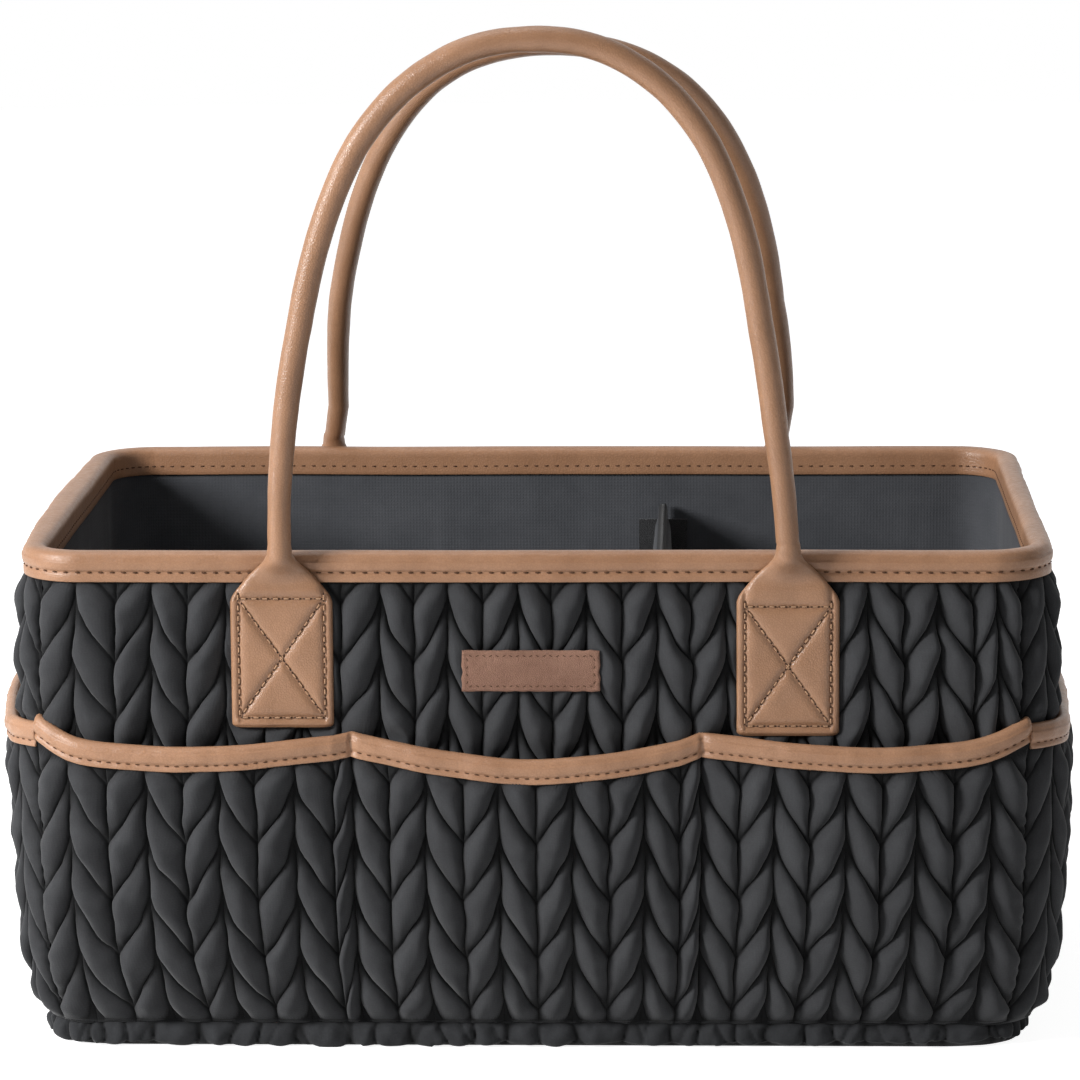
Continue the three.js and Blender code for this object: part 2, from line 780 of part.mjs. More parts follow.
// Dividers: a padded sleeve, open at its hem, over a board
const dividerFoot = floorTop + gap;
const hookFace = innerFace - gap;
function dividerEnd(reach, z) {
  const byHook = reach + hookFace - hook - gap;
  const byLining = reach + stiffOut(z) + liningOut - lining - dividerClearance;
  return Math.min(byHook, byLining);
}

// The outline of a divider from its low end to its high end, both given as functions of z.
function dividerOutline(lowEnd, highEnd, inset, foot) {
  const levels = stiffLevels(dividerFoot).filter((z) => z < dividerTop - inset);
  const heights = [foot, ...levels.slice(1), dividerTop - inset];
  return new THREE.Shape([
    ...heights.map((z) => new THREE.Vector2(highEnd(z) - inset, z)),
    ...heights.reverse().map((z) => new THREE.Vector2(lowEnd(z) + inset, z)),
  ]);
}

// A divider's sleeve and board, in the XZ plane with the sleeve's middle at y = 0.
function dividerPieces(lowEnd, highEnd) {
  const slab = (inset, foot, thickness, round) => {
    const outline = dividerOutline(lowEnd, highEnd, inset + round, foot + round);
    const made = new THREE.ExtrudeGeometry(outline, {
      depth: thickness - 2 * round,
      bevelEnabled: round > 0,
      bevelSize: round,
      bevelThickness: round,
      bevelSegments: 2,
    });
    return made.rotateX(Math.PI / 2).translate(0, thickness / 2 - round, 0);
  };
  const wall = dividerThickness / 2;
  const sleeve = toSolid(slab(0, dividerFoot, dividerThickness, dividerRound));
  const slot = toSolid(slab(wall, dividerFoot - overrun, dividerBoard + 2 * gap, 0));
  return {
    sleeve: fromSolid(sleeve.subtract(slot)),
    board: slab(wall + gap, dividerFoot + gap, dividerBoard, 0),
  };
}

const crossEnd = (z) => dividerEnd(sides.front.reach, z);
const cross = dividerPieces((z) => -crossEnd(z), crossEnd);
for (const [name, finish] of [["sleeve", "lining"], ["board", "board"]]) {
  const mesh = add(`cross_divider_${name}`, cross[name], finish);
  mesh.rotation.z = Math.PI / 2;
  mesh.position.x = crossPlace;
}
const crossFace = crossPlace - dividerThickness / 2;
const longHigh = crossFace - gap - hook - gap - hook - gap;
const long = dividerPieces((z) => -dividerEnd(sides.left.reach, z), () => longHigh);
add("long_divider_sleeve", long.sleeve, "lining");
add("long_divider_board", long.board, "board");

// Hook strips on the dividers and loop strips on what they stick to
const hookWidth = dividerThickness - 2 * dividerRound;
function strip(name, width, x, y, across) {
  const [dx, dy] = across ? [width, hook] : [hook, width];
  const geometry = new THREE.BoxGeometry(dx, dy, stripHeight);
  add(name, geometry.translate(x, y, stripTop - stripHeight / 2), "hook");
}
const loopPlace = innerFace + hook / 2;
const hookPlace = hookFace - hook / 2;
for (const [name, way] of [["front", -1], ["back", 1]]) {
  strip(`${name}_loop_strip`, stripWidth, crossPlace, way * (sides.front.reach + loopPlace), true);
  strip(`cross_divider_${name}_hook`, hookWidth, crossPlace, way * (sides.front.reach + hookPlace), true);
}
strip("left_loop_strip", stripWidth, -(sides.left.reach + loopPlace), 0, false);
strip("long_divider_left_hook", hookWidth, -(sides.left.reach + hookPlace), 0, false);
strip("cross_divider_loop", stripWidth, crossFace - gap - hook / 2, 0, false);
strip("long_divider_right_hook", hookWidth, crossFace - 2 * gap - hook - hook / 2, 0, false);

export default group;
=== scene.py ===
# %% [markdown]
# # A quilted nappy caddy
#
# The caddy is a soft box: quilted walls over boards, scalloped outside pockets, a
# leather-bound rim, two rolled leather handles, a lining and two loose dividers.
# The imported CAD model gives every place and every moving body. This script dresses it:
# it replaces each soft solid with a finer surface, worked out with numpy as a function
# of two parameters, and gives every piece a material built from nodes.

import bpy
import numpy as np
from mathutils import Matrix


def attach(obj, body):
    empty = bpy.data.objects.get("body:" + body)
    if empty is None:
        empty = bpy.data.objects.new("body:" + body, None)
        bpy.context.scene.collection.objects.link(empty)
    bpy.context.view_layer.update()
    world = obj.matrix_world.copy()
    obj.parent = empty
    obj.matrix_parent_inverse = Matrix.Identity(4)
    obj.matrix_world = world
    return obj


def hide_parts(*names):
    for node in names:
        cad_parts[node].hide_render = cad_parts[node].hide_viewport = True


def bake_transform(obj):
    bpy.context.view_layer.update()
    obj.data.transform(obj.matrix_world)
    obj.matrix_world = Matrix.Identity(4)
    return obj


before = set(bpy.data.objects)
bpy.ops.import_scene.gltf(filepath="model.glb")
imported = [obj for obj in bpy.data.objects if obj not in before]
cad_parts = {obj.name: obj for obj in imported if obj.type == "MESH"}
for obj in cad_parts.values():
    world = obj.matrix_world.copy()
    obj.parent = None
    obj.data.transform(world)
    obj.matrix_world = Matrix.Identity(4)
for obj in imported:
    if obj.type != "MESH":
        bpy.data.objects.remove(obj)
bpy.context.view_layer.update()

MM = 0.001

# %% [markdown]
# ## The camera
#
# A product photo like this is taken from far away with a long lens, so that the box's
# sides hardly converge. The camera's place, tilt, turn and roll were solved from lines
# that can be read off the picture: the rim's front and rear edges, the foot and the
# sides. Working in degrees and millimetres keeps the numbers readable.

# %% Camera
CAMERA_PLACE = np.array([61.6, -1825.0, 497.1])
CAMERA_TILT, CAMERA_TURN, CAMERA_ROLL = np.radians([10.15, 2.0, -0.38])
FOCAL_PIXELS, FRAME_PIXELS, SENSOR = 4745.8, 1080, 36.0

camera_data = bpy.data.cameras.new("camera")
camera_data.sensor_width = SENSOR
camera_data.lens = FOCAL_PIXELS / FRAME_PIXELS * SENSOR
camera_data.clip_end = 30
camera = bpy.data.objects.new("camera", camera_data)
camera.location = CAMERA_PLACE * MM
level = Matrix.Rotation(CAMERA_TURN, 3, "Z") @ Matrix.Rotation(np.pi / 2 - CAMERA_TILT, 3, "X")
camera.rotation_euler = (level @ Matrix.Rotation(CAMERA_ROLL, 3, "Z")).to_euler()
bpy.context.scene.collection.objects.link(camera)
bpy.context.scene.camera = camera
print(f"lens {camera_data.lens:.0f} mm")

# %% [markdown]
# ## Light, floor and background
#
# A soft lamp at the upper left shapes the puffs, a weaker one at the right keeps the
# shaded side readable, a wide one above lights the rim, and the world fills in. The
# background is pure white only where the camera, a reflection or a clear material looks
# at it, through Light Path, so the white doesn't light the object. Reflections see it
# only behind the object. The floor takes the same trick but keeps shadows.

# %% Node helpers
scene = bpy.context.scene
scene.view_settings.view_transform = "Standard"


def node_tree(owner):
    """Turns on an owner's nodes, empties them and returns the tree."""
    owner.use_nodes = True
    owner.node_tree.nodes.clear()
    return owner.node_tree


def fill_socket(tree, socket, value):
    """Links a value to an input if it is a socket, and else writes it there."""
    if isinstance(value, bpy.types.NodeSocket):
        tree.links.new(value, socket)
    else:
        socket.default_value = value


def new_node(tree, kind, **inputs):
    """A shader node with inputs filled by name, where _ stands for a space."""
    node = tree.nodes.new("ShaderNode" + kind)
    for title, value in inputs.items():
        fill_socket(tree, node.inputs[title.replace("_", " ")], value)
    return node


def add_math(tree, operation, *values):
    """A math node on its values, each a socket or a number."""
    node = new_node(tree, "Math")
    node.operation = operation
    for socket, value in zip(node.inputs, values):
        fill_socket(tree, socket, value)
    return node.outputs[0]


def join_shaders(tree, kind, first, second, **inputs):
    """A node that mixes or adds two shaders."""
    node = new_node(tree, kind, **inputs)
    for socket, value in zip(list(node.inputs)[-2:], (first, second)):
        tree.links.new(value.outputs[0], socket)
    return node


def seen_directly(tree, reflected=1.0):
    """1 where a camera ray arrives, the given share where a glossy or transmission ray
    does, else 0."""
    path = new_node(tree, "LightPath").outputs
    other = add_math(tree, "MAXIMUM", path["Is Glossy Ray"], path["Is Transmission Ray"])
    other = add_math(tree, "MULTIPLY", other, reflected)
    return add_math(tree, "MAXIMUM", path["Is Camera Ray"], other)


# %% World and lamps
WHITE = (1, 1, 1, 1)
FILL_LIGHT, BACKDROP_SPREAD = 0.14, 2.5

world = bpy.data.worlds.new("studio")
scene.world = world
tree = node_tree(world)
way = new_node(tree, "SeparateXYZ", Vector=new_node(tree, "TexCoord").outputs["Generated"])
backdrop = add_math(tree, "MULTIPLY", way.outputs["Y"], BACKDROP_SPREAD)
backdrop = add_math(tree, "MINIMUM", add_math(tree, "MAXIMUM", backdrop, 0.0), 1.0)
lights = [new_node(tree, "Background", Color=WHITE, Strength=s) for s in (FILL_LIGHT, 1.0)]
sky = join_shaders(tree, "MixShader", *lights, Fac=seen_directly(tree, backdrop))
new_node(tree, "OutputWorld", Surface=sky.outputs[0])


def lamp(name, place, height, size, watts):
    """A square area lamp at a place, in metres, that shines at a height above the middle."""
    data = bpy.data.lights.new(name, "AREA")
    data.shape = "SQUARE"
    data.size = size
    data.energy = watts
    made = bpy.data.objects.new(name, data)
    way = np.array((0, 0, height), float) - np.array(place, float)
    flat = np.hypot(way[0], way[1])
    made.location = place
    made.rotation_euler = (np.arctan2(flat, -way[2]), 0, np.arctan2(-way[0], way[1]))
    scene.collection.objects.link(made)
    print(f"{name}: {np.linalg.norm(way):.2f} m away")


lamp("key_lamp", (-1.20, -0.76, 0.74), 0.13, size=0.42, watts=31)
lamp("fill_lamp", (1.9, -1.7, 0.9), 0.12, size=1.4, watts=6)
lamp("top_lamp", (-0.4, 0.1, 2.0), 0.2, size=1.0, watts=12)


# %% [markdown]
# ## Putting a surface into a mesh
#
# Every piece below ends as one numpy array of points in millimetres and a few arrays of
# faces. This helper scales the points to metres, fills the mesh with foreach_set, turns
# the faces so that they point outwards, smooths them and stores UVs and attributes.
# Filling arrays is hundreds of times faster than adding vertices one by one.

# %% Mesh helper
def grid_faces(rows, columns, start=0, around=False, over=False):
    """The quads of a grid of points stored row by row, closed round either way."""
    r = np.arange(rows if over else rows - 1)[:, None]
    c = np.arange(columns if around else columns - 1)[None, :]
    below, beside = (r + 1) % rows, (c + 1) % columns
    quads = [r * columns + c, r * columns + beside, below * columns + beside, below * columns + c]
    return np.stack([q + 0 * (r + c) for q in quads], -1).reshape(-1, 4) + start


def tube_faces(rings, columns):
    """The faces of a tube stored ring by ring, with a polygon over each end."""
    ring = np.arange(columns)
    ends = [ring[::-1][None, :], (ring + (rings - 1) * columns)[None, :]]
    return [grid_faces(rings, columns, around=True), *ends]


def belt_faces(rows, columns):
    """The faces of a closed belt stored across it, with a polygon inside each edge."""
    edge = np.arange(rows) * columns
    ends = [edge[None, :], edge[::-1][None, :] + columns - 1]
    return [grid_faces(rows, columns, over=True), *ends]


def enclosed_volume(points, corners, starts, totals):
    """Six times the volume inside a mesh, by summing the fans of its faces."""
    total = 0.0
    for count in np.unique(totals):
        first = starts[totals == count]
        a = points[corners[first]]
        for k in range(1, count - 1):
            b, c = points[corners[first + k]], points[corners[first + k + 1]]
            total += np.einsum("ij,ij->", a, np.cross(b, c))
    return total


def make_mesh(name, points, faces, uv=None, attributes=None):
    """One mesh object from points in mm and a list of face arrays, each k by n corners.

    Faces with a doubled corner lose it, and those with fewer than 3 corners go. The
    whole mesh is turned inside out if its volume comes out negative."""
    points = np.asarray(points, float)
    corners, totals = [], []
    for block in faces:
        block = np.asarray(block)
        if block.shape[1] == 4:
            doubled = [block[:, k] == block[:, (k + 1) % 4] for k in range(4)]
            count = np.sum(doubled, 0)
            whole = block[count == 0]
            corners.append(whole.ravel())
            totals.append(np.full(len(whole), 4))
            for k in range(4):
                three = np.delete(block[(count == 1) & doubled[k]], k, 1)
                corners.append(three.ravel())
                totals.append(np.full(len(three), 3))
        else:
            corners.append(block.ravel())
            totals.append(np.full(len(block), block.shape[1]))
    corners, totals = np.concatenate(corners), np.concatenate(totals)
    starts = np.concatenate([[0], np.cumsum(totals)[:-1]])
    if enclosed_volume(points, corners, starts, totals) < 0:
        index = np.arange(len(corners))
        first, count = np.repeat(starts, totals), np.repeat(totals, totals)
        corners = corners[first + count - 1 - (index - first)]
    mesh = bpy.data.meshes.new(name)
    mesh.vertices.add(len(points))
    mesh.vertices.foreach_set("co", (points * MM).astype(np.float32).ravel())
    mesh.loops.add(len(corners))
    mesh.loops.foreach_set("vertex_index", corners.astype(np.int32))
    mesh.polygons.add(len(totals))
    mesh.polygons.foreach_set("loop_start", starts.astype(np.int32))
    mesh.polygons.foreach_set("use_smooth", np.full(len(totals), True))
    mesh.update(calc_edges=True)
    if uv is not None:
        layer = mesh.uv_layers.new(name="cloth")
        layer.uv.foreach_set("vector", (uv[corners] * MM).astype(np.float32).ravel())
    for key, values in (attributes or {}).items():
        held = mesh.attributes.new(key, "FLOAT", "POINT")
        held.data.foreach_set("value", np.asarray(values, np.float32))
    mesh.validate()
    made = bpy.data.objects.new(name, mesh)
    scene.collection.objects.link(made)
    return made


def finish_piece(piece, body, slot, material, *nodes):
    """Gives a piece its material, lets it ride on a body, and replaces nodes. The slot is not used.
    """
    piece.data.materials.append(material)
    if body:
        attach(piece, body)
    if nodes:
        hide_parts(*nodes)
    print(f"{piece.name}: {len(piece.data.polygons)} faces")
    return piece


# %% [markdown]
# The floor is one large rounded sheet. It only has to catch the soft contact shadow.

# %% Floor
FLOOR_GREY, FLOOR_GLOW, FLOOR_DROP = 0.70, 0.9, 0.2


def floor_material():
    """A rough pale grey that also glows white where it is seen directly."""
    material = bpy.data.materials.new("white_floor")
    tree = node_tree(material)
    grey = (FLOOR_GREY, FLOOR_GREY, FLOOR_GREY, 1)
    shade = new_node(tree, "BsdfPrincipled", Base_Color=grey, Roughness=0.9, Specular_IOR_Level=0.1)
    glows = [new_node(tree, "Emission", Strength=s) for s in (0.0, FLOOR_GLOW)]
    glow = join_shaders(tree, "MixShader", *glows, Fac=seen_directly(tree))
    both = join_shaders(tree, "AddShader", glow, shade)
    new_node(tree, "OutputMaterial", Surface=both.outputs[0])
    return material


def make_floor(reach=4000, rings=12, corners=48):
    """A flat disc: rings of points whose radius grows to the reach."""
    radius = np.linspace(0.01, reach, rings)[:, None]
    angle = np.linspace(0, 2 * np.pi, corners, endpoint=False)[None, :]
    flat = 0 * radius * angle - FLOOR_DROP
    points = np.stack([radius * np.cos(angle), radius * np.sin(angle), flat], -1)
    piece = make_mesh("floor", points.reshape(-1, 3), [grid_faces(rings, corners, around=True)])
    piece.data.materials.append(floor_material())
    print(f"floor: {len(points.reshape(-1, 3))} points")


make_floor()

# %% [markdown]
# ## The box as a formula
#
# All soft layers are offsets of one rounded rectangle, so one function places any point:
# which side, how far along it, how high, and how far out from the ring under the rim's
# binding. The numbers are the CAD model's own, in millimetres, repeated here because
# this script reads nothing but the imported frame.

# %% Sizes and wall formula
RIM_HEIGHT, RIM_BAND = 188.0, 11.2
HALF_LENGTH, HALF_DEPTH, CORNER = 190.0, 125.0, 25.0
LEATHER, GAP = 1.2, 0.3
RING = CORNER - LEATHER - GAP
SEAM_TURN = np.radians(38)
BELLY, FOOT, FOOT_POWER, END_BOW = 2.4, 6.5, 6.0, 1.0
FOOT_HEIGHT = 8.8
BELLY_HEIGHT = 0.73 * RIM_HEIGHT
STIFF_HEIGHT = 0.54 * RIM_HEIGHT
BAND_FOOT = RIM_HEIGHT - RIM_BAND
FACE_INSET = LEATHER + GAP
LONG_SIDE = dict(
    half=HALF_LENGTH - CORNER, reach=HALF_DEPTH - FACE_INSET, columns=28,
    bow=0.0, bend=SEAM_TURN, puff=1.0)
END_SIDE = dict(
    half=HALF_DEPTH - CORNER, reach=HALF_LENGTH - FACE_INSET, columns=20,
    bow=END_BOW, bend=np.pi / 2 - SEAM_TURN, puff=0.62)
SIDES = {
    "front": dict(LONG_SIDE, turn=0), "right": dict(END_SIDE, turn=1),
    "back": dict(LONG_SIDE, turn=2), "left": dict(END_SIDE, turn=3)}


def smooth_step(value, low, high):
    """0 below low, 1 above high and 3t2 - 2t3 between."""
    t = np.clip((value - low) / (high - low), 0, 1)
    return t * t * (3 - 2 * t)


def bell(distance, width):
    """1 at no distance, falling away as the exponential of minus its square in widths."""
    return np.exp(-((distance / width) ** 2))


def wall_out(z):
    """How far the wall stands out: a parabola below the rim, a steep power at the foot."""
    upper = BELLY * (1 - np.clip((z - BELLY_HEIGHT) / (BAND_FOOT - BELLY_HEIGHT), 0, 1) ** 2)
    drop = np.clip((BELLY_HEIGHT - z) / (BELLY_HEIGHT - FOOT_HEIGHT), 0, 1.05)
    return np.where(z > BELLY_HEIGHT, upper, BELLY - (BELLY + FOOT) * drop**FOOT_POWER)


def face_out(side, c, z):
    """The wall's face with the end's gentle bow, a parabola along and a sine up."""
    share = 2 * c / side["columns"] - 1
    up = np.clip((z - FOOT_HEIGHT) / (BAND_FOOT - FOOT_HEIGHT), 0, 1)
    return wall_out(z) + side["bow"] * (1 - share**2) * np.sin(np.pi * up)


def stiff_out(z):
    """The boards stay upright and draw in towards the foot with the depth squared."""
    return -FOOT * np.maximum((STIFF_HEIGHT - z) / (STIFF_HEIGHT - FOOT_HEIGHT), 0) ** 2


def settle(points, out, amount=3.0):
    """A used bag isn't quite square: the left end's outer layers lean out by some mm near
    the top, by a smooth step of the height times a squared cosine along the end."""
    x, y, z = points[..., 0], points[..., 1], points[..., 2]
    along = np.cos(np.clip(y / 150, -1, 1) * np.pi / 2) ** 2
    near = np.clip((-x - 150) / 40, 0, 1) ** 2
    lean = amount * smooth_step(z, 110, RIM_HEIGHT) * along * near
    moved = points.copy()
    moved[..., 0] = x - lean * np.clip((out + 5) / 5, 0, 1)
    return moved


def place_on_side(side, share, z, out):
    """A point on one side: straight to the corner's start, then round an arc whose radius
    is the ring's plus out. share runs from -1 to 1, seam to seam, seen from outside."""
    share, z, out = np.broadcast_arrays(share, z, out)
    radius = RING + out
    along = share * (side["half"] + radius * side["bend"] - GAP / 2)
    past = np.maximum(np.abs(along) - side["half"], 0)
    angle = past / radius
    sideways = np.sign(along) * (np.minimum(np.abs(along), side["half"]) + radius * np.sin(angle))
    outward = side["reach"] + out + radius * (np.cos(angle) - 1)
    turned = [
        (sideways, -outward), (outward, sideways), (-sideways, outward), (-outward, -sideways)]
    x, y = turned[side["turn"]]
    return settle(np.stack([x, y, z], -1), out)


def ring_length(out=0.0):
    """The length right round the box at an offset."""
    return 4 * (HALF_LENGTH + HALF_DEPTH - 2 * CORNER) + 2 * np.pi * (RING + out)


def place_on_ring(turn, z, out):
    """A point on the whole ring: turn runs from 0 to 1 round it, from the front's left
    corner, with the corners as quarter circles."""
    turn, z, out = np.broadcast_arrays(turn, z, out)
    radius = RING + out
    front, end, arc = 2 * (HALF_LENGTH - CORNER), 2 * (HALF_DEPTH - CORNER), np.pi / 2 * RING
    distance = (turn % 1) * (2 * (front + end) + 4 * arc)
    marks = np.cumsum([0, front, arc, end, arc, front, arc, end, arc])
    x, y = np.zeros(turn.shape), np.zeros(turn.shape)
    a, b = HALF_LENGTH - CORNER, HALF_DEPTH - CORNER
    straights = [
        (0, -a, -b, 1, 0, 0, -1), (2, a, -b, 0, 1, 1, 0),
        (4, a, b, -1, 0, 0, 1), (6, -a, b, 0, -1, -1, 0)]
    for k, sx, sy, dx, dy, nx, ny in straights:
        on = (distance >= marks[k]) & (distance <= marks[k + 1])
        s = distance - marks[k]
        x = np.where(on, sx + dx * s + nx * radius, x)
        y = np.where(on, sy + dy * s + ny * radius, y)
    corners = [(1, a, -b, -90), (3, a, b, 0), (5, -a, b, 90), (7, -a, -b, 180)]
    for k, cx, cy, start in corners:
        on = (distance > marks[k]) & (distance < marks[k + 1])
        angle = np.radians(start) + (distance - marks[k]) / RING
        x = np.where(on, cx + radius * np.cos(angle), x)
        y = np.where(on, cy + radius * np.sin(angle), y)
    return settle(np.stack([x, y, z], -1), out)


print(f"ring round the box: {ring_length():.0f} mm")

# %% [markdown]
# ## One quilted leaf, blown up like a membrane
#
# The quilting is one leaf repeated in mirrored columns: its four sides are seams, and
# the padding lifts the cloth between them. A cloth blown up over a fixed outline obeys
# Poisson's equation: the curvature is the same everywhere. Solving that once on a fine
# grid gives the plump shape with its pointed tips, and a root makes the crown rounder and
# the seams sharper. The seam itself is a smooth step: it starts and ends upright.

# %% Leaf relief
LEAF_PITCH, LEAF_WIDTH, LOWEST_APEX = 21.95, 13.0, 14.0
SEAM_DROP, SEAM_POWER = 1.34, 0.57
PUFF, SEAM_DEPTH = 5.2, 1.3


def seam_drop(share):
    """How far the seam has dropped, in pitches, at a share of the column's width: a power
    of the share, which leaves the peak upright, mixed four to one with the inverse of
    the smooth step 3t2 - 2t3, which is upright at the peak and at the V."""
    share = np.clip(share, 0, 1)
    upright = 0.5 - np.sin(np.arcsin(1 - 2 * share) / 3)
    return SEAM_DROP * (0.8 * share**SEAM_POWER + 0.2 * upright)


def solve_leaf(columns=44, rows=210, rounds=2600):
    """Heights of a membrane over one leaf, 0 to 1, on a grid of share by drop.
    Each round replaces a height by the mean of its neighbours plus the pressure."""
    share = np.linspace(0, 1, columns + 1)[None, :]
    drop = np.linspace(0, 1 + SEAM_DROP, rows + 1)[:, None]
    top = seam_drop(share)
    inside = (drop > top) & (drop < top + 1) & (share > 0) & (share < 1)
    dx, dz = LEAF_WIDTH / columns, (1 + SEAM_DROP) * LEAF_PITCH / rows
    wx, wz = 1 / dx**2, 1 / dz**2
    height = np.zeros(inside.shape)
    for _ in range(rounds):
        mean = wx * (height[1:-1, :-2] + height[1:-1, 2:])
        mean = mean + wz * (height[:-2, 1:-1] + height[2:, 1:-1])
        height[1:-1, 1:-1] = np.where(inside[1:-1, 1:-1], (mean + 1) / (2 * (wx + wz)), 0)
    return height / height.max()


leaf_heights = solve_leaf()
print(f"leaf grid {leaf_heights.shape}, mean height {leaf_heights[leaf_heights > 0].mean():.2f}")


def leaf_relief(share, fall, power=0.7):
    """The leaf's height at a share across its column and a fall below its upper seam, in
    pitches, read from the solved grid by blending its four nearest points, to a power."""
    rows, columns = leaf_heights.shape
    drop = (seam_drop(share) + fall) / (1 + SEAM_DROP)
    u, v = np.clip(share, 0, 1) * (columns - 1), np.clip(drop, 0, 1) * (rows - 1)
    i, j = np.minimum(v.astype(int), rows - 2), np.minimum(u.astype(int), columns - 2)
    a, b = v - i, u - j
    h = leaf_heights
    low = h[i, j] * (1 - b) + h[i, j + 1] * b
    high = h[i + 1, j] * (1 - b) + h[i + 1, j + 1] * b
    return np.clip(low * (1 - a) + high * a, 0, 1) ** power


# %% [markdown]
# Cloth is never perfectly even. These helpers give smooth seeded waves: a few sine
# waves of random direction added together, which cost nothing and repeat on every run.

# %% Seeded waves
def waves(u, v, length, seed, count=7):
    """A smooth random field between about -1 and 1: sines with wavelengths near length,
    random directions and phases, added and scaled by the root of their number."""
    random = np.random.default_rng(seed)
    total = np.zeros(np.broadcast(u, v).shape)
    for _ in range(count):
        angle, phase = random.uniform(0, 2 * np.pi, 2)
        wave = 2 * np.pi / (length * random.uniform(0.7, 1.4))
        total += np.sin(wave * (u * np.cos(angle) + v * np.sin(angle)) + phase)
    return total / np.sqrt(count) / 1.2


# %% [markdown]
# ## Effects that several materials share
#
# Cloth weave, leather grain and slow colour mottling each live in a node group with
# named sockets, built once. A material places a group, feeds it its own coordinates and
# scale, and keeps the shader itself. Plain numbers stay on the shader's own sockets.

# %% Node groups
def new_group(name, inputs, outputs):
    """A shader node group with named float or vector inputs and float outputs."""
    group = bpy.data.node_groups.new(name, "ShaderNodeTree")
    for title, value in inputs:
        kind = "NodeSocketVector" if value is None else "NodeSocketFloat"
        socket = group.interface.new_socket(name=title, in_out="INPUT", socket_type=kind)
        if value is not None:
            socket.default_value = value
    for title in outputs:
        group.interface.new_socket(name=title, in_out="OUTPUT", socket_type="NodeSocketFloat")
    return group, group.nodes.new("NodeGroupInput"), group.nodes.new("NodeGroupOutput")


def add_noise(tree, vector, scale, detail=3.0, roughness=0.5):
    """A noise texture's value. scale is a number, or a socket to link."""
    inputs = dict(Vector=vector, Scale=scale, Detail=detail, Roughness=roughness)
    return new_node(tree, "TexNoise", **inputs).outputs[0]


# %% Weave
tree, inside, outside = new_group("fine_weave", [("Vector", None), ("Threads", 2200.0)], ["Height"])
vector, count = inside.outputs["Vector"], inside.outputs["Threads"]
for_axis = []
for axis in ("X", "Y"):
    scale = add_math(tree, "MULTIPLY", count, 0.16)
    wave = new_node(tree, "TexWave", Vector=vector, Scale=scale, Distortion=0.6, Detail=1.0)
    wave.wave_type, wave.bands_direction, wave.wave_profile = "BANDS", axis, "SIN"
    for_axis.append(wave.outputs["Fac"])
threads = add_math(tree, "MULTIPLY", *for_axis)
fluff = add_noise(tree, vector, add_math(tree, "MULTIPLY", count, 0.7), 4.0, 0.7)
tree.links.new(add_math(tree, "MULTIPLY_ADD", fluff, 0.8, threads), outside.inputs["Height"])
weave_group = tree

# %% Mottling
inputs = [("Vector", None), ("Scale", 60.0), ("Contrast", 1.0)]
tree, inside, outside = new_group("mottle", inputs, ["Value"])
cloud = add_noise(tree, inside.outputs["Vector"], inside.outputs["Scale"], 4.0, 0.6)
spread = add_math(tree, "SUBTRACT", cloud, 0.5)
spread = add_math(tree, "MULTIPLY", spread, inside.outputs["Contrast"])
held = new_node(tree, "Clamp", Value=add_math(tree, "MULTIPLY_ADD", spread, 2.0, 0.5))
tree.links.new(held.outputs[0], outside.inputs["Value"])
mottle_group = tree

# %% Leather grain
inputs = [("Vector", None), ("Scale", 900.0)]
tree, inside, outside = new_group("leather_grain", inputs, ["Height", "Pores"])
vector, scale = inside.outputs["Vector"], inside.outputs["Scale"]
cell = tree.nodes.new("ShaderNodeTexVoronoi")
cell.feature = "DISTANCE_TO_EDGE"
tree.links.new(vector, cell.inputs["Vector"])
tree.links.new(scale, cell.inputs["Scale"])
ridge = add_math(tree, "MULTIPLY", cell.outputs["Distance"], 5.0)
ridge = add_math(tree, "MINIMUM", ridge, 1.0)
folds = add_noise(tree, vector, add_math(tree, "MULTIPLY", scale, 0.35), 3.0, 0.6)
tree.links.new(add_math(tree, "MULTIPLY_ADD", folds, 1.4, ridge), outside.inputs["Height"])
tree.links.new(add_math(tree, "SUBTRACT", 1.0, ridge), outside.inputs["Pores"])
grain_group = tree
print("node groups:", [g.name for g in (weave_group, mottle_group, grain_group)])

# %% [markdown]
# ## Materials
#
# The quilted cloth is a dark, soft, brushed fabric: very rough, with a weak sheen that
# lights the rim of each puff. Painted shade darkens its colour where the cloth dives into a
# seam; the mask for it comes from the mesh itself, as an attribute with the puff's height.
# Leather is smoother, with a fine grain, slow colour clouds and darker pores.

# %% Material helpers
def coordinates(tree):
    """The object's own coordinates."""
    return new_node(tree, "TexCoord").outputs["Object"]


def stored(tree, name):
    """A value that the mesh holds at each point, by name."""
    node = new_node(tree, "Attribute")
    node.attribute_name = name
    return node.outputs["Fac"]


def use_group(tree, group, vector, **values):
    """Places a node group, feeds its vector and sets its other inputs by name."""
    node = tree.nodes.new("ShaderNodeGroup")
    node.node_tree = group
    for title, value in dict(values, Vector=vector).items():
        fill_socket(tree, node.inputs[title], value)
    return node


def mottle(tree, scale, contrast):
    """Clouds of a given scale on the object's coordinates, from 0 to 1."""
    node = use_group(tree, mottle_group, coordinates(tree), Scale=scale, Contrast=contrast)
    return node.outputs["Value"]


def darker(color, share):
    """A colour with a share of its light."""
    return tuple(share * v for v in color)


def blend_colors(tree, amount, first, second):
    """Mixes two colours, each a tuple or a socket, by an amount from 0 to 1."""
    node = tree.nodes.new("ShaderNodeMix")
    node.data_type = "RGBA"
    sockets = {s.identifier: s for s in node.inputs}
    tree.links.new(amount, sockets["Factor_Float"])
    for key, value in (("A_Color", first), ("B_Color", second)):
        fill_socket(tree, sockets[key], (*value, 1) if isinstance(value, tuple) else value)
    return next(o for o in node.outputs if o.identifier == "Result_Color")


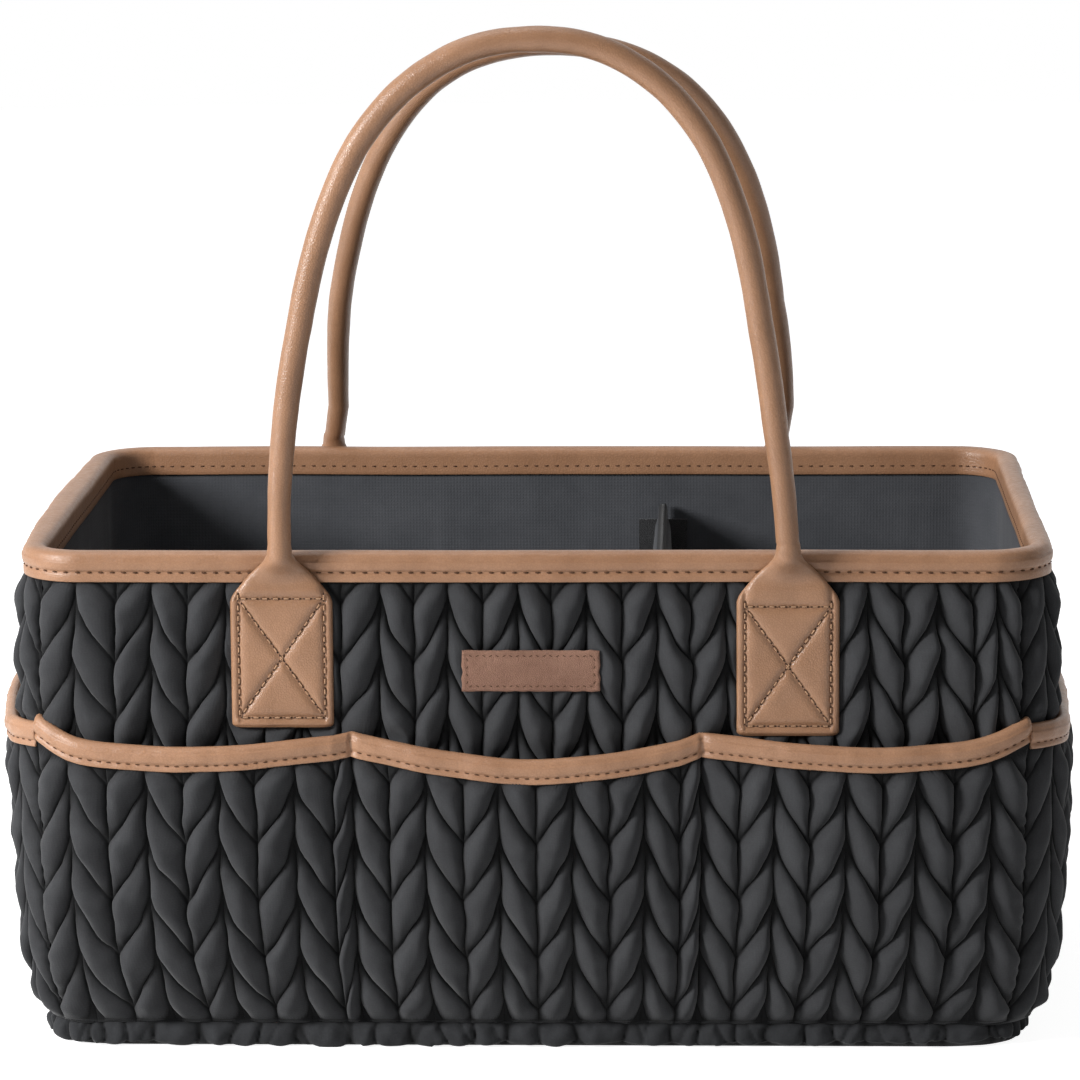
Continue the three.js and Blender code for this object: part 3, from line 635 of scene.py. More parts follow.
def new_material(name, roughness, specular=0.5, sheen=0.0, sheen_roughness=0.5):
    """A material with one Principled shader, whose plain numbers are set on it."""
    material = bpy.data.materials.new(name)
    tree = node_tree(material)
    shader = new_node(
        tree, "BsdfPrincipled", Roughness=roughness, Specular_IOR_Level=specular,
        Sheen_Weight=sheen, Sheen_Roughness=sheen_roughness)
    new_node(tree, "OutputMaterial", Surface=shader.outputs[0])
    return material, tree, shader


def add_bump(tree, shader, height, distance):
    """Feeds a height, in distances of that many metres, to the shader's normal."""
    node = new_node(tree, "Bump", Strength=1.0, Distance=distance, Height=height)
    tree.links.new(node.outputs[0], shader.inputs["Normal"])


def map_range(tree, value, low, high, to_low=0.0, to_high=1.0):
    """Maps a value from one range to another and holds it there."""
    limits = dict(From_Min=low, From_Max=high, To_Min=to_low, To_Max=to_high)
    return new_node(tree, "MapRange", Value=value, **limits).outputs[0]


# %% Cloth materials
def cloth_material(name, dark, light, weave=2200.0, seams=True, sheen=0.13, bump=0.00003):
    """Brushed cloth: two close colours clouded together. With painted seam shade, its colour
    is darkened in two steps towards the seams, by the puff's height that the mesh holds."""
    material, tree, shader = new_material(name, 0.85, 0.14, sheen, 0.45)
    color = blend_colors(tree, mottle(tree, 55.0, 1.4), dark, light)
    fine = mottle(tree, 1500.0, 1.2)
    specks = map_range(tree, fine, 0, 1, 0.0, 0.16)
    color = blend_colors(tree, specks, color, darker(dark, 0.4))
    if seams:
        # Painted shade: dark along the seams' creases, and softer over the lower slopes of each
        # puff.
        puff = stored(tree, "puff")
        line = map_range(tree, puff, 0.12, 0.42, 0.96, 0.0)
        painted_valley_shade = map_range(tree, puff, 0.2, 0.75, 0.36, 0.0)
        shade = add_math(tree, "MAXIMUM", line, painted_valley_shade)
        color = blend_colors(tree, shade, color, darker(dark, 0.14))
    tree.links.new(color, shader.inputs["Base Color"])
    tree.links.new(map_range(tree, fine, 0, 1, 0.78, 0.95), shader.inputs["Roughness"])
    flat = new_node(tree, "UVMap")
    flat.uv_map = "cloth"
    cloth = use_group(tree, weave_group, flat.outputs["UV"], Threads=weave)
    add_bump(tree, shader, cloth.outputs["Height"], bump)
    return material


LINING_TONES = (0.060, 0.063, 0.070), (0.078, 0.081, 0.089)
quilt_cloth = cloth_material("quilt_cloth", (0.036, 0.0365, 0.039), (0.047, 0.048, 0.051))
base_cloth = cloth_material("base_cloth", (0.026, 0.027, 0.029), (0.036, 0.037, 0.040))
lining_cloth = cloth_material("lining_cloth", *LINING_TONES, 1500.0, False, 0.12, 0.0001)
sleeve_cloth = cloth_material("sleeve_cloth", *LINING_TONES, 1500.0, True, 0.12, 0.0001)
print("cloths:", [m.name for m in (quilt_cloth, base_cloth, lining_cloth, sleeve_cloth)])


# %% Leather and suede
def leather_material(name, dark, light, grain=900.0, roughness=(0.34, 0.50), depth=0.00005):
    """Smooth tanned leather: slow clouds of two tones, darker streaks and pores, fine
    grain."""
    material, tree, shader = new_material(name, 0.5)
    color = blend_colors(tree, mottle(tree, 38.0, 1.5), dark, light)
    streaks = mottle(tree, 420.0, 1.1)
    shade = map_range(tree, streaks, 0.3, 1, 0.0, 0.2)
    color = blend_colors(tree, shade, color, darker(dark, 0.72))
    grains = use_group(tree, grain_group, coordinates(tree), Scale=grain)
    pores = map_range(tree, grains.outputs["Pores"], 0.4, 1, 0.0, 0.22)
    color = blend_colors(tree, pores, color, darker(dark, 0.45))
    tree.links.new(color, shader.inputs["Base Color"])
    tree.links.new(map_range(tree, streaks, 0, 1, *roughness), shader.inputs["Roughness"])
    add_bump(tree, shader, grains.outputs["Height"], depth)
    return material


tan_leather = leather_material("tan_leather", (0.330, 0.170, 0.092), (0.405, 0.216, 0.121))
rim_leather = leather_material("rim_leather", (0.300, 0.152, 0.080), (0.365, 0.192, 0.105))
handle_hide = leather_material(
    "handle_leather", (0.290, 0.150, 0.080), (0.360, 0.190, 0.104), 1000.0, (0.30, 0.44))
patch_suede = leather_material(
    "patch_suede", (0.215, 0.108, 0.070), (0.32, 0.172, 0.118), 1500.0, (0.85, 0.95), 0.00018)
print("leathers:", [m.name for m in (tan_leather, rim_leather, handle_hide, patch_suede)])


# %% Thread and fibres
def thread_material(name, color, painted_hole_shade=None):
    """Twisted sewing thread: fine diagonal bands across the object's coordinates. With a
    second colour, the ends take it as painted shade of the needle holes they dive into."""
    material, tree, shader = new_material(name, 0.7, 0.15, 0.05)
    twist = new_node(tree, "TexWave", Vector=coordinates(tree), Scale=900.0)
    twist.bands_direction = "DIAGONAL"
    mixed = blend_colors(tree, twist.outputs["Fac"], darker(color, 0.6), color)
    if painted_hole_shade:
        # Painted shade: the tips darken to the shaded colour of the needle holes.
        mixed = blend_colors(tree, map_range(tree, stored(tree, "tip"), 0.05, 0.3), mixed, painted_hole_shade)
    tree.links.new(mixed, shader.inputs["Base Color"])
    add_bump(tree, shader, twist.outputs["Fac"], 0.00005)
    return material


brown_thread = thread_material("brown_thread", (0.115, 0.054, 0.030))
# The tan thread's dark second colour is painted shade where its tips dive into needle holes.
tan_thread = thread_material("tan_thread", (0.50, 0.30, 0.18), (0.045, 0.020, 0.012))
grey_thread = thread_material("grey_thread", (0.05, 0.052, 0.056))


def fibre_material(name, dark, light, scale, depth, sheen=0.0):
    """Pressed or looped fibres: two scales of noise for the colour and the height."""
    material, tree, shader = new_material(name, 0.9, 0.2, sheen)
    coarse, fine = mottle(tree, scale * 0.12, 1.6), mottle(tree, scale, 2.0)
    mixed = add_math(tree, "MULTIPLY_ADD", fine, 0.5, add_math(tree, "MULTIPLY", coarse, 0.5))
    tree.links.new(blend_colors(tree, mixed, dark, light), shader.inputs["Base Color"])
    tree.links.new(map_range(tree, fine, 0, 1, 0.8, 0.97), shader.inputs["Roughness"])
    add_bump(tree, shader, fine, depth)
    return material


hook_tape = fibre_material(
    "hook_tape", (0.012, 0.012, 0.013), (0.040, 0.041, 0.044), 1800.0, 0.0004, 0.3)
fibre_board = fibre_material("fibre_board", (0.50, 0.46, 0.38), (0.70, 0.67, 0.58), 700.0, 0.0001)
cord_cotton = fibre_material("cord_cotton", (0.62, 0.57, 0.47), (0.80, 0.76, 0.66), 1400.0, 0.0002)
print("fibres:", [m.name for m in (hook_tape, fibre_board, cord_cotton)])

# %% [markdown]
# ## A quilted panel
#
# The grid follows the stitching: one direction runs along each column of leaves, the
# other from seam to seam, so every crease is a line of points and stays sharp. Where the
# panel ends, at a scalloped mouth or at the foot, the points are held on the edge and
# the squashed faces drop out. A coarse wrap closes the panel behind, so it is a solid
# pad that a cushion maker could fill.

# %% Quilt grid
def quilt_grid(side, low_edge, high_edge, across, along):
    """Columns c, their place t on the seam's step, rows of heights held between the
    edges, the same rows left free, and both edges. Rows are closer together near the
    seams, by mixing a straight ramp and a cosine."""
    local = np.linspace(0, 1, across + 1)
    k = np.repeat(np.arange(side["columns"]), across)
    t_local = np.tile(local[:-1], side["columns"])
    c = np.append(k + 3 * t_local**2 - 2 * t_local**3, side["columns"])
    t = np.append(np.where(k % 2 == 1, t_local, 1 - t_local), 1.0 - side["columns"] % 2)
    low, high = low_edge(c), high_edge(c)
    first = np.floor((low.min() - LOWEST_APEX) / LEAF_PITCH - SEAM_DROP)
    last = np.ceil((high.max() - LOWEST_APEX) / LEAF_PITCH)
    ramp = np.linspace(0, 1, along + 1)[:-1]
    ramp = 0.45 * ramp + 0.55 * (1 - np.cos(np.pi * ramp)) / 2
    q = np.append((np.arange(first, last)[:, None] + ramp).ravel(), last)
    rise = (SEAM_DROP - seam_drop(3 * t**2 - 2 * t**3))[None, :]
    z = LOWEST_APEX + (q[:, None] + rise) * LEAF_PITCH
    return c, t, np.clip(z, low[None, :], high[None, :]), z, low, high


def merge_held(z, low, high):
    """Row-by-column point numbers in which all points held on an edge are one point."""
    rows, columns = z.shape
    numbers = np.arange(rows * columns).reshape(rows, columns)
    lowest = np.maximum((z <= low).sum(0) - 1, 0)
    highest = np.minimum(rows - (z >= high).sum(0), rows - 1)
    row = np.arange(rows)[:, None]
    row = np.clip(row, lowest[None, :], highest[None, :])
    return numbers[row, np.arange(columns)[None, :]], lowest, highest


# %% Quilt surface
EDGE_FADE, GATHER_REACH, PRESS = 6, 4.0, 0.6


def quilt_relief(side, c, t, z, along, raised, seed):
    """The leaf's height in mm, its share of the full puff, and the small unevenness of
    sewn cloth: uneven stuffing, puckers along the seams, rumples on the puffs and a
    gathered edge at both ends, all seeded waves."""
    share = 3 * t**2 - 2 * t**3
    fall = (z - LOWEST_APEX) / LEAF_PITCH - SEAM_DROP + seam_drop(share)[None, :]
    fall = np.ceil(fall) - fall
    puff = leaf_relief(share[None, :] + 0 * z, fall)
    plump = 1 + 0.10 * waves(along, z, 34, seed) + 0.07 * waves(along, z, 13, seed + 1)
    pucker = 0.30 * waves(along, z, 4.4, seed + 2) * np.exp(-2.6 * puff) * raised
    rumple = 0.22 * waves(along, z, 9.5, seed + 3) + 0.10 * waves(along, z, 5.0, seed + 6)
    rumple = rumple * raised * puff
    to_end = np.minimum(c, side["columns"] - c) * LEAF_WIDTH
    fold = np.abs(np.sin(0.55 * z + 1.5 * waves(0 * z, z, 20, seed + 7)))
    gather = bell(to_end, GATHER_REACH) * (0.9 * fold - 0.8)
    height = PUFF * np.interp(z, [20, 55, 95, 125], [1, side["puff"], side["puff"], 1])
    return height * puff * raised * plump, puff, (pucker, rumple, gather * raised)


def press_down(out, room):
    """Keeps a surface under what is sewn on top: above the last 0.6 mm of room it bends
    over and creeps up to it as an exponential."""
    over = np.exp(-np.maximum(out - room + PRESS, 0) / PRESS)
    return np.where(out > room - PRESS, room - PRESS * over, out)


def quilt_front(side, grid, drawn, face, lift, limit, seed):
    """The front's points, its places along the panel and its puffs. The seams sway a
    little, apart from the panel's edges."""
    c, t, z, _, low, high = grid
    columns = c[None, :] + 0 * z
    half = side["half"] + RING * side["bend"]
    spread = drawn(side, c)[None, :]
    along = spread * half + 0 * z
    raised = lift(columns, z)
    height, puff, small = quilt_relief(side, columns, t, z, along, raised, seed)
    out = face(columns, z) - SEAM_DEPTH * raised + height
    for part in small:
        out = out + part
    if limit is not None:
        out = press_down(out, limit(columns, along, z))
    inner = np.minimum(np.minimum(columns, side["columns"] - columns), 1)
    edge = np.clip(np.minimum(z - low[None, :], high[None, :] - z) / EDGE_FADE, 0, 1)
    sway = 0.45 * waves(along, z, 16, seed + 4) * inner * edge
    drift = 0.5 * waves(along, z, 19, seed + 5) * edge * inner
    points = place_on_side(side, spread + sway / half, z + drift, out)
    # The puff's share, kept at least a quarter under the bindings, masks the painted seam shade.
    return points, along, puff * np.clip(raised, 0.25, 1)


# %% Quilted panel
# The wrap behind takes a middling puff, which gives it some painted shade in the cloth's colour.
BACK_PUFF = 0.4


def panel_faces(numbers, lowest, highest, behind):
    """The quads of the front and of the wrap behind, and a polygon over both ends."""
    loop = np.concatenate([numbers[:1], behind, numbers[-1:]])
    faces = []
    for grid, flip in ((numbers, False), (loop, True)):
        corners = [grid[:-1, :-1], grid[:-1, 1:], grid[1:, 1:], grid[1:, :-1]]
        quads = np.stack(corners, -1).reshape(-1, 4)
        faces.append(quads[:, ::-1] if flip else quads)
    for column, flip in ((0, True), (-1, False)):
        rim = numbers[lowest[column] : highest[column] + 1, column]
        ring = np.concatenate([rim, behind[::-1, column]])
        faces.append((ring[::-1] if flip else ring)[None, :])
    return faces


def quilted_panel(name, side, low_edge, high_edge, face, lift, wrap, detail, drawn, limit, seed):
    """A panel whose front is the quilt between two edges and whose back is the wrap:
    rows of (height, out) from below the front's foot round to its top."""
    grid = quilt_grid(side, low_edge, high_edge, *detail)
    c, _, z, free, low, high = grid
    front, along, puffs = quilt_front(side, grid, drawn, face, lift, limit, seed)
    behind_z, behind_out = wrap(c)
    behind = place_on_side(side, drawn(side, c)[None, :], behind_z, behind_out)
    numbers, lowest, highest = merge_held(free, low[None, :], high[None, :])
    numbers_behind = np.arange(behind_z.size).reshape(behind_z.shape) + z.size
    faces = panel_faces(numbers, lowest, highest, numbers_behind)
    uv_front = np.stack([along, z], -1).reshape(-1, 2)
    uv_behind = np.stack([along[:1] + 0 * behind_z, behind_z], -1).reshape(-1, 2)
    points = np.concatenate([front.reshape(-1, 3), behind.reshape(-1, 3)])
    uv = np.concatenate([uv_front, uv_behind])
    puffs = np.concatenate([puffs.ravel(), np.full(behind_z.size, BACK_PUFF)])
    return compact_mesh(name, points, faces, uv, puffs)


def compact_mesh(name, points, faces, uv, puffs):
    """Leaves out the points that no face uses, then makes the mesh."""
    used = np.zeros(len(points), bool)
    for block in faces:
        used[block.ravel()] = True
    renumber = np.cumsum(used) - 1
    faces = [renumber[block] for block in faces]
    return make_mesh(name, points[used], faces, uv[used], {"puff": puffs[used]})


# %% [markdown]
# No sewer keeps every column even: on the real box some seams lie up to 60 % of a column
# off their places. These tables list where, as pairs of column and shift, from a panel's
# left seam to its right. The right end's first seam moves as far as the front's last one.

# %% Uneven columns
RIGHT_SHIFTS = [(0, -0.27), (3, 0), (20, 0)]
WALL_SHIFTS = {
    "front": [
        (0, -0.22), (2, 0.09), (4, 0.14), (9, 0.62), (11, 0.54), (18, 0.42), (20, 0.4),
        (23, 0.42), (26, 0.36), (28, -0.25)],
    "right": RIGHT_SHIFTS,
    "left": [(0, 0), (17, 0), (20, -0.24)]}
POCKET_SHIFTS = {
    "front": [
        (0, -0.06), (1, 0.06), (2, 0.22), (3, 0.37), (4, 0.43), (6, 0.38), (8, 0.43),
        (9, -0.12), (10, -0.06), (12, 0.04), (14, 0.04), (18, 0), (19, -0.37),
        (20, -0.36), (22, -0.52), (25, -0.62), (27, -0.43), (28, -0.25)],
    "right": RIGHT_SHIFTS,
    "left": [(0, 0), (17, 0), (20, -0.07)]}


def shifted_columns(shifts):
    """Where columns are drawn, from -1 to 1: evenly, apart from a side's own shifts."""
    by_turn = {SIDES[name]["turn"]: pairs for name, pairs in shifts.items()}

    def drawn(side, c):
        """The column plus its shift, read off the table along straight lines."""
        place, shift = np.array(by_turn.get(side["turn"], [(0, 0), (99, 0)]), float).T
        return 2 * (c + np.interp(c, place, shift)) / side["columns"] - 1
    return drawn


wall_columns, pocket_columns = shifted_columns(WALL_SHIFTS), shifted_columns(POCKET_SHIFTS)
print(f"front seams moved by up to {max(abs(s) for _, s in WALL_SHIFTS['front']):.2f} columns")

# %% [markdown]
# ## Walls
#
# Each wall is quilted from the rim down to a little below the pocket's mouth. Further
# down the pocket hides it, so the wrap carries a plain cloth face to the foot. Under the
# handle tabs and the patch the stitched leather presses the puffs flat.

# %% Pocket mouths
POCKET_END, POCKET_SEAM = RIM_HEIGHT - 63.8, RIM_HEIGHT - 66.0
SIDE_COLUMNS, MIDDLE_DIP, SIDE_DIP, END_DIP, DIP_SKEW = 9, 8.7, 5.6, 4.0, 0.74
POCKET_CORE, POCKET_BULGE, POCKET_LEATHER, POCKET_BAND = 2.0, 7.0, 1.0, 9.2
END_GAPE = {1: -2.4, 3: 4.4}
QUILT_FOOT, LOW_EDGE = FOOT_HEIGHT + 3.0, 10.4
TAB_FOOT, TAB_HALF, TAB_PLACE = 121.9, 18.75, 92.5
PATCH_HALF, PATCH_HEIGHT, PATCH_MIDDLE, PATCH_ASIDE = 25.25, 15.3, RIM_HEIGHT - 43.4, 1.3


def pocket_span(side, c):
    """For each column, its pocket's two seams, their heights and its dip."""
    n = side["columns"]
    if side["turn"] % 2 == 1:
        return 0 * c, 0 * c + n, POCKET_END + 0 * c, POCKET_END + 0 * c, END_DIP + 0 * c
    left, right = c < SIDE_COLUMNS, c > n - SIDE_COLUMNS
    start = np.where(left, 0, np.where(right, n - SIDE_COLUMNS, SIDE_COLUMNS))
    end = np.where(left, SIDE_COLUMNS, np.where(right, n, n - SIDE_COLUMNS))
    first = np.where(left, POCKET_END, POCKET_SEAM)
    last = np.where(right, POCKET_END, POCKET_SEAM)
    return start, end, first, last, np.where(left | right, SIDE_DIP, MIDDLE_DIP)


def pocket_top(side, c):
    """The mouth's height: a straight line between its two seams less a sine's dip. The
    front's outer pockets dip nearer to the corners, by a power of the share."""
    start, end, first, last, dip = pocket_span(side, c)
    share = np.clip((c - start) / (end - start), 0, 1)
    skewed = share
    if side["turn"] == 0:
        right = np.where(start > SIDE_COLUMNS, 1 - (1 - share) ** DIP_SKEW, share)
        skewed = np.where(end <= SIDE_COLUMNS, share**DIP_SKEW, right)
    return first + (last - first) * share - dip * np.sin(np.pi * skewed)


def at_seams(side, c, width):
    """A bell curve of some columns' width at each seam that divides the pockets."""
    total = 0 * c
    if side["turn"] % 2 == 0:
        for seam in (SIDE_COLUMNS, side["columns"] - SIDE_COLUMNS):
            total = total + bell(c - seam, width)
    return total


def pocket_space(side, c, z):
    """How far the pocket's back stands off the wall: a sine across, a cube downwards. The
    left end's mouth gapes and the right end's lies close."""
    start, end, *_ = pocket_span(side, c)
    across = np.clip(np.sin(np.pi * (c - start) / (end - start)), 0, 1)
    across = across**1.5 if side["turn"] % 2 == 1 else across
    top = pocket_top(side, c)
    depth = np.clip((top - z) / (top - QUILT_FOOT), 0, 1)
    gape = END_GAPE.get(side["turn"], 0) * across * bell(depth, 0.2)
    return GAP + (GAP + POCKET_LEATHER + POCKET_BULGE * across) * (1 - depth**3) + gape


def soft_rise(distance, reach):
    """Grows from a little at an edge to 1 further in, as 1 less an exponential."""
    return np.clip(1 - np.exp(-(distance + 0.25 * reach) / reach), 0, 1)


def pressed_room(side):
    """How far out the quilt may stand: low under the tabs, the patch and the pockets'
    bands, and free beyond, by a power of the distance from each."""
    def room(c, x, z):
        """The nearest of the limits, as a distance out from the ring in mm."""
        above = np.maximum(z - pocket_top(side, c) + 0.5, 0)
        free = pocket_space(side, c, z) - 1.7 + above * 0.85 + face_out(side, c, z)
        if side["turn"] % 2 == 0:
            beside = np.maximum(np.abs(np.abs(x) - TAB_PLACE) - TAB_HALF + 1.0, 0)
            below = np.maximum(TAB_FOOT + 1.0 - z, 0)
            away = np.hypot(beside, below) / 7.0
            free = np.minimum(free, 1.95 + 7 * np.clip(away, 0, 1) ** 1.6)
        if side["turn"] == 0:
            dx = np.maximum(np.abs(x + PATCH_ASIDE) - PATCH_HALF + 1.0, 0)
            dz = np.maximum(np.abs(z - PATCH_MIDDLE) - PATCH_HEIGHT / 2 + 1.0, 0)
            free = np.minimum(free, 4.25 + 5 * np.clip(np.hypot(dx, dz) / 6, 0, 1) ** 1.6)
        return free
    return room


# %% Walls
WALL_DETAIL = {"front": (14, 22), "right": (12, 20), "back": (12, 20), "left": (12, 20)}
WALL_LAP, BOARD, WALL_TOP = 34, 2.0, RIM_HEIGHT - 1.8


def rows_of(pairs, c):
    """Pairs of (height, out), each a number or an array over c, as two grids."""
    return tuple(np.array([value + 0 * c for value in values]) for values in zip(*pairs))


for order, (label, side) in enumerate(SIDES.items()):
    def low_edge(c, side=side):
        """The mouth of the pocket less the lap that it hides."""
        return pocket_top(side, c) - WALL_LAP

    def wrap(c, side=side):
        """Down the wall's plain face to the foot, then up along the board to the top."""
        low = low_edge(c, side)
        plain = [low - 6, 0.75 * low, 0.5 * low, 0.36 * low, 0.24 * low, FOOT_HEIGHT + 0 * c]
        pairs = [(z, face_out(side, c, z) - 0.15) for z in plain]
        for z in (FOOT_HEIGHT, 22.0, 40.0, 65.0, 101.5, 150.0, WALL_TOP):
            pairs.append((z, stiff_out(z) - BOARD))
        return rows_of(pairs + [(WALL_TOP, 0)], c)

    wall = quilted_panel(
        f"{label}_wall_cloth", side, low_edge, lambda c: BAND_FOOT + 2 + 0 * c,
        lambda c, z, side=side: face_out(side, c, z),
        lambda c, z: np.where(z > BAND_FOOT, 0, soft_rise(BAND_FOOT - z, 2.8)),
        wrap, WALL_DETAIL[label], wall_columns, pressed_room(side), 10 + 20 * order)
    finish_piece(wall, "caddy", "quilt", quilt_cloth, f"{label}_wall_quilt")

# %% [markdown]
# ## Pockets
#
# Three pockets run along the front and the back and one along each end. They are the
# same quilt, one layer further out. Each pocket's mouth dips between its seams and
# bellies away from the wall, and where it is sewn down the cloth gathers into the seam.

# %% Pocket panels
POCKET_DETAIL = {"front": (16, 26), "right": (14, 22), "back": (12, 20), "left": (14, 22)}


def pocket_face(side, c, z):
    """The pocket cloth's face: the wall's, plus the pocket's space, plus its own layer,
    drawn in a little along the dividing seams."""
    space = face_out(side, c, z) + pocket_space(side, c, z)
    return space + POCKET_CORE - 0.6 * at_seams(side, c, 0.16)


for order, (label, side) in enumerate(SIDES.items()):
    def band_edge(c, side=side):
        """The mouth less the binding's height, plus what the binding covers."""
        return pocket_top(side, c) - POCKET_BAND + 1.5

    def lift(c, z, side=side):
        """0 under the binding, and a soft rise away from it and from the foot."""
        top = pocket_top(side, c) - POCKET_BAND
        return np.where(z > top, 0, soft_rise(np.minimum(top - z, z - LOW_EDGE), 2.2))

    def wrap(c, side=side):
        """Up the pocket's back from the foot to the mouth, then over to its face."""
        top = pocket_top(side, c) - 1.3
        pairs = [(FOOT_HEIGHT, pocket_face(side, c, FOOT_HEIGHT + 0 * c))]
        for share in (0, 0.05, 0.12, 0.22, 0.36, 0.55, 0.78, 1.0):
            z = FOOT_HEIGHT + share * (top - FOOT_HEIGHT)
            pairs.append((z, face_out(side, c, z) + pocket_space(side, c, z)))
        last = face_out(side, c, top) + pocket_space(side, c, top) + POCKET_CORE
        return rows_of(pairs + [(top, last)], c)

    panel = quilted_panel(
        f"{label}_pocket_cloth", side, lambda c: LOW_EDGE + 0 * c, band_edge,
        lambda c, z, side=side: pocket_face(side, c, z), lift, wrap,
        POCKET_DETAIL[label], pocket_columns, None, 110 + 20 * order)
    finish_piece(panel, "caddy", "quilt", quilt_cloth, f"{label}_pocket_panel")


# %% [markdown]
# ## Leather bindings
#
# A binding is a strip of leather folded over an edge and stitched through. Its section
# is drawn once as a closed outline: a plump outer face, a rounded fold, the inner leaf
# and the thin raw edges. The stitches pull a groove into it a little above its lower
# edge. Carrying that outline along the scalloped mouth, or round the rim, makes the piece.

# %% Binding sections
def fold_outline(outer, inner, crown, height, groove, leaf, plump, inner_height, power):
    """The section of a folded strip as (depth below the top, place outwards) pairs.
    The fold is half a superellipse, and the outer face a sine's bulge with a bell-shaped
    groove at the stitches."""
    middle, wide = (outer + inner) / 2, (outer - inner) / 2
    turn = np.linspace(0, np.pi, 17)
    arc_out = middle + wide * np.sign(np.cos(turn)) * np.abs(np.cos(turn)) ** (2 / power)
    arc_down = crown * (1 - np.sin(turn).clip(0, 1) ** (2 / power))
    down = np.concatenate([
        np.linspace(height - 0.45, groove + 1.2, 4),
        np.linspace(groove + 0.9, groove - 0.9, 9),
        np.linspace(groove - 1.3, crown + 0.2, 8)])
    belly = np.clip((down - crown * 0.3) / (groove - crown * 0.3), 0, 1)
    dent = (0.5 * plump + 0.25) * bell(down - groove, 0.75) * np.clip(height - down, 0, 1)
    face = outer + plump * np.sin(np.pi * belly) - dent
    depth, inset = inner_height, leaf + 0.4
    rest = [(d, inner) for d in np.linspace(crown + 0.3, depth - 0.4, 6)]
    rest += [(depth - 0.1, inner + 0.15), (depth, inner + leaf / 2), (depth - 0.2, inner + leaf)]
    rest += [(d, inner + leaf) for d in (depth * 0.6, crown + 0.6, leaf + 0.5)]
    rest += [(leaf + 0.1, inner + inset), (leaf, middle), (leaf + 0.1, outer - inset)]
    rest += [(d, outer - leaf) for d in (leaf + 0.5, crown + 0.6, height * 0.6, height - 0.35)]
    rest += [
        (height - 0.08, outer - leaf + 0.15), (height, outer - leaf / 2),
        (height - 0.12, outer - 0.12)]
    return np.concatenate([np.stack([down, face], 1), np.stack([arc_down, arc_out], 1), rest])


# %% Stitches
def stitch_run(name, place, along, outward, length, thick, sink=0.5):
    """A row of threads, each a bent capsule: four rings of six points and two tips. The
    bend is a fourth power, so that the ends dive into the cloth, sink mm deep."""
    along = along / np.linalg.norm(along, axis=1, keepdims=True)
    outward = outward - np.sum(outward * along, 1, keepdims=True) * along
    outward = outward / np.linalg.norm(outward, axis=1, keepdims=True)
    across = np.cross(along, outward)
    s = np.append(np.repeat([-0.82, -0.42, 0.42, 0.82], 6), [-1, 1])
    radius = np.append(np.repeat([0.72, 1.0, 1.0, 0.72], 6) * thick, [0, 0])
    angle = np.append(np.tile(np.arange(6) * np.pi / 3, 4), [0, 0])
    lift = thick * 0.35 - sink * s**4
    local = [s * length / 2, radius * np.sin(angle), lift + 0.85 * radius * np.cos(angle)]
    axes = [along, across, outward]
    offset = sum(l[None, :, None] * a[:, None, :] for l, a in zip(local, axes))
    points = place[:, None, :] + offset
    k = np.arange(6)
    after = (k + 1) % 6
    tips = np.concatenate([
        np.stack([24 + 0 * k, after, k], 1), np.stack([25 + 0 * k, 18 + k, 18 + after], 1)])
    shift = np.arange(len(place))[:, None, None] * 26
    quads = grid_faces(4, 6, around=True)
    blocks = [(quads[None] + shift).reshape(-1, 4), (tips[None] + shift).reshape(-1, 3)]
    tip = np.tile(np.abs(s) > 0.6, len(place)).astype(float)
    return make_mesh(name, points.reshape(-1, 3), blocks, attributes={"tip": tip})


def sew(name, runs, size, body, slot, material):
    """One piece of thread from several runs, each (place, along, outward). The size is
    the stitch's length, its thickness and, if it isn't the usual one, its sink."""
    place, along, outward = [np.concatenate(parts) for parts in zip(*runs)]
    thread = stitch_run(name, place, along, outward, *size)
    return finish_piece(thread, body, slot, material)


def even_steps(path, pitch):
    """Points at equal steps along a polyline, with the direction at each."""
    steps = np.linalg.norm(np.diff(path, axis=0), axis=1)
    total = np.concatenate([[0], np.cumsum(steps)])
    at = np.linspace(0, total[-1], max(int(total[-1] / pitch), 1) + 1)
    at = (at[1:] + at[:-1]) / 2
    place, ahead, before = [
        np.stack([np.interp(at + shift, total, path[:, k]) for k in range(3)], 1)
        for shift in (0, 0.6, -0.6)]
    return place, ahead - before


# %% Pocket bands
BAND_OUTER, BAND_INNER, BAND_SEAM = 3.3, -1.3, POCKET_BAND - 2.3
BAND_SECTION = fold_outline(
    BAND_OUTER, BAND_INNER, 2.4, POCKET_BAND, BAND_SEAM, 1.0, 0.4, POCKET_BAND - 1.0, 2.0)
TIP_RISE, SEAM_ROOM = 2.8, 0.12
BAND_PITCH, BAND_STITCH = 3.6, (2.0, 0.2)


def band_place(side, c, depth, out):
    """A point of a pocket's band: so far below the mouth, and so far out of the panel's
    back. Along each dividing seam the band is pulled in by a narrow bell curve, and at
    the corners of the front and the back its tips stand higher."""
    top = pocket_top(side, c)
    if side["turn"] % 2 == 0:
        top = top + TIP_RISE * (bell(c, 0.8) + bell(side["columns"] - c, 0.8))
    middle = pocket_top(side, c) - 5.0
    base = face_out(side, c, middle) + pocket_space(side, c, middle)
    share = pocket_columns(side, c)
    x = share * (side["half"] + RING * side["bend"])
    turn = side["turn"]
    soft = 0.28 * waves(x, depth, 22, 60 + turn) + 0.12 * waves(x, depth, 9, 70 + turn)
    lean = 0.25 * waves(x, 0 * depth, 30, 80 + turn)
    outer = np.clip((out - BAND_INNER) / (BAND_OUTER - BAND_INNER), 0, 1)
    pulled = 0.9 * at_seams(side, c, 0.11) * outer
    return place_on_side(side, share, top - depth + lean, base + out - pulled + soft * outer)


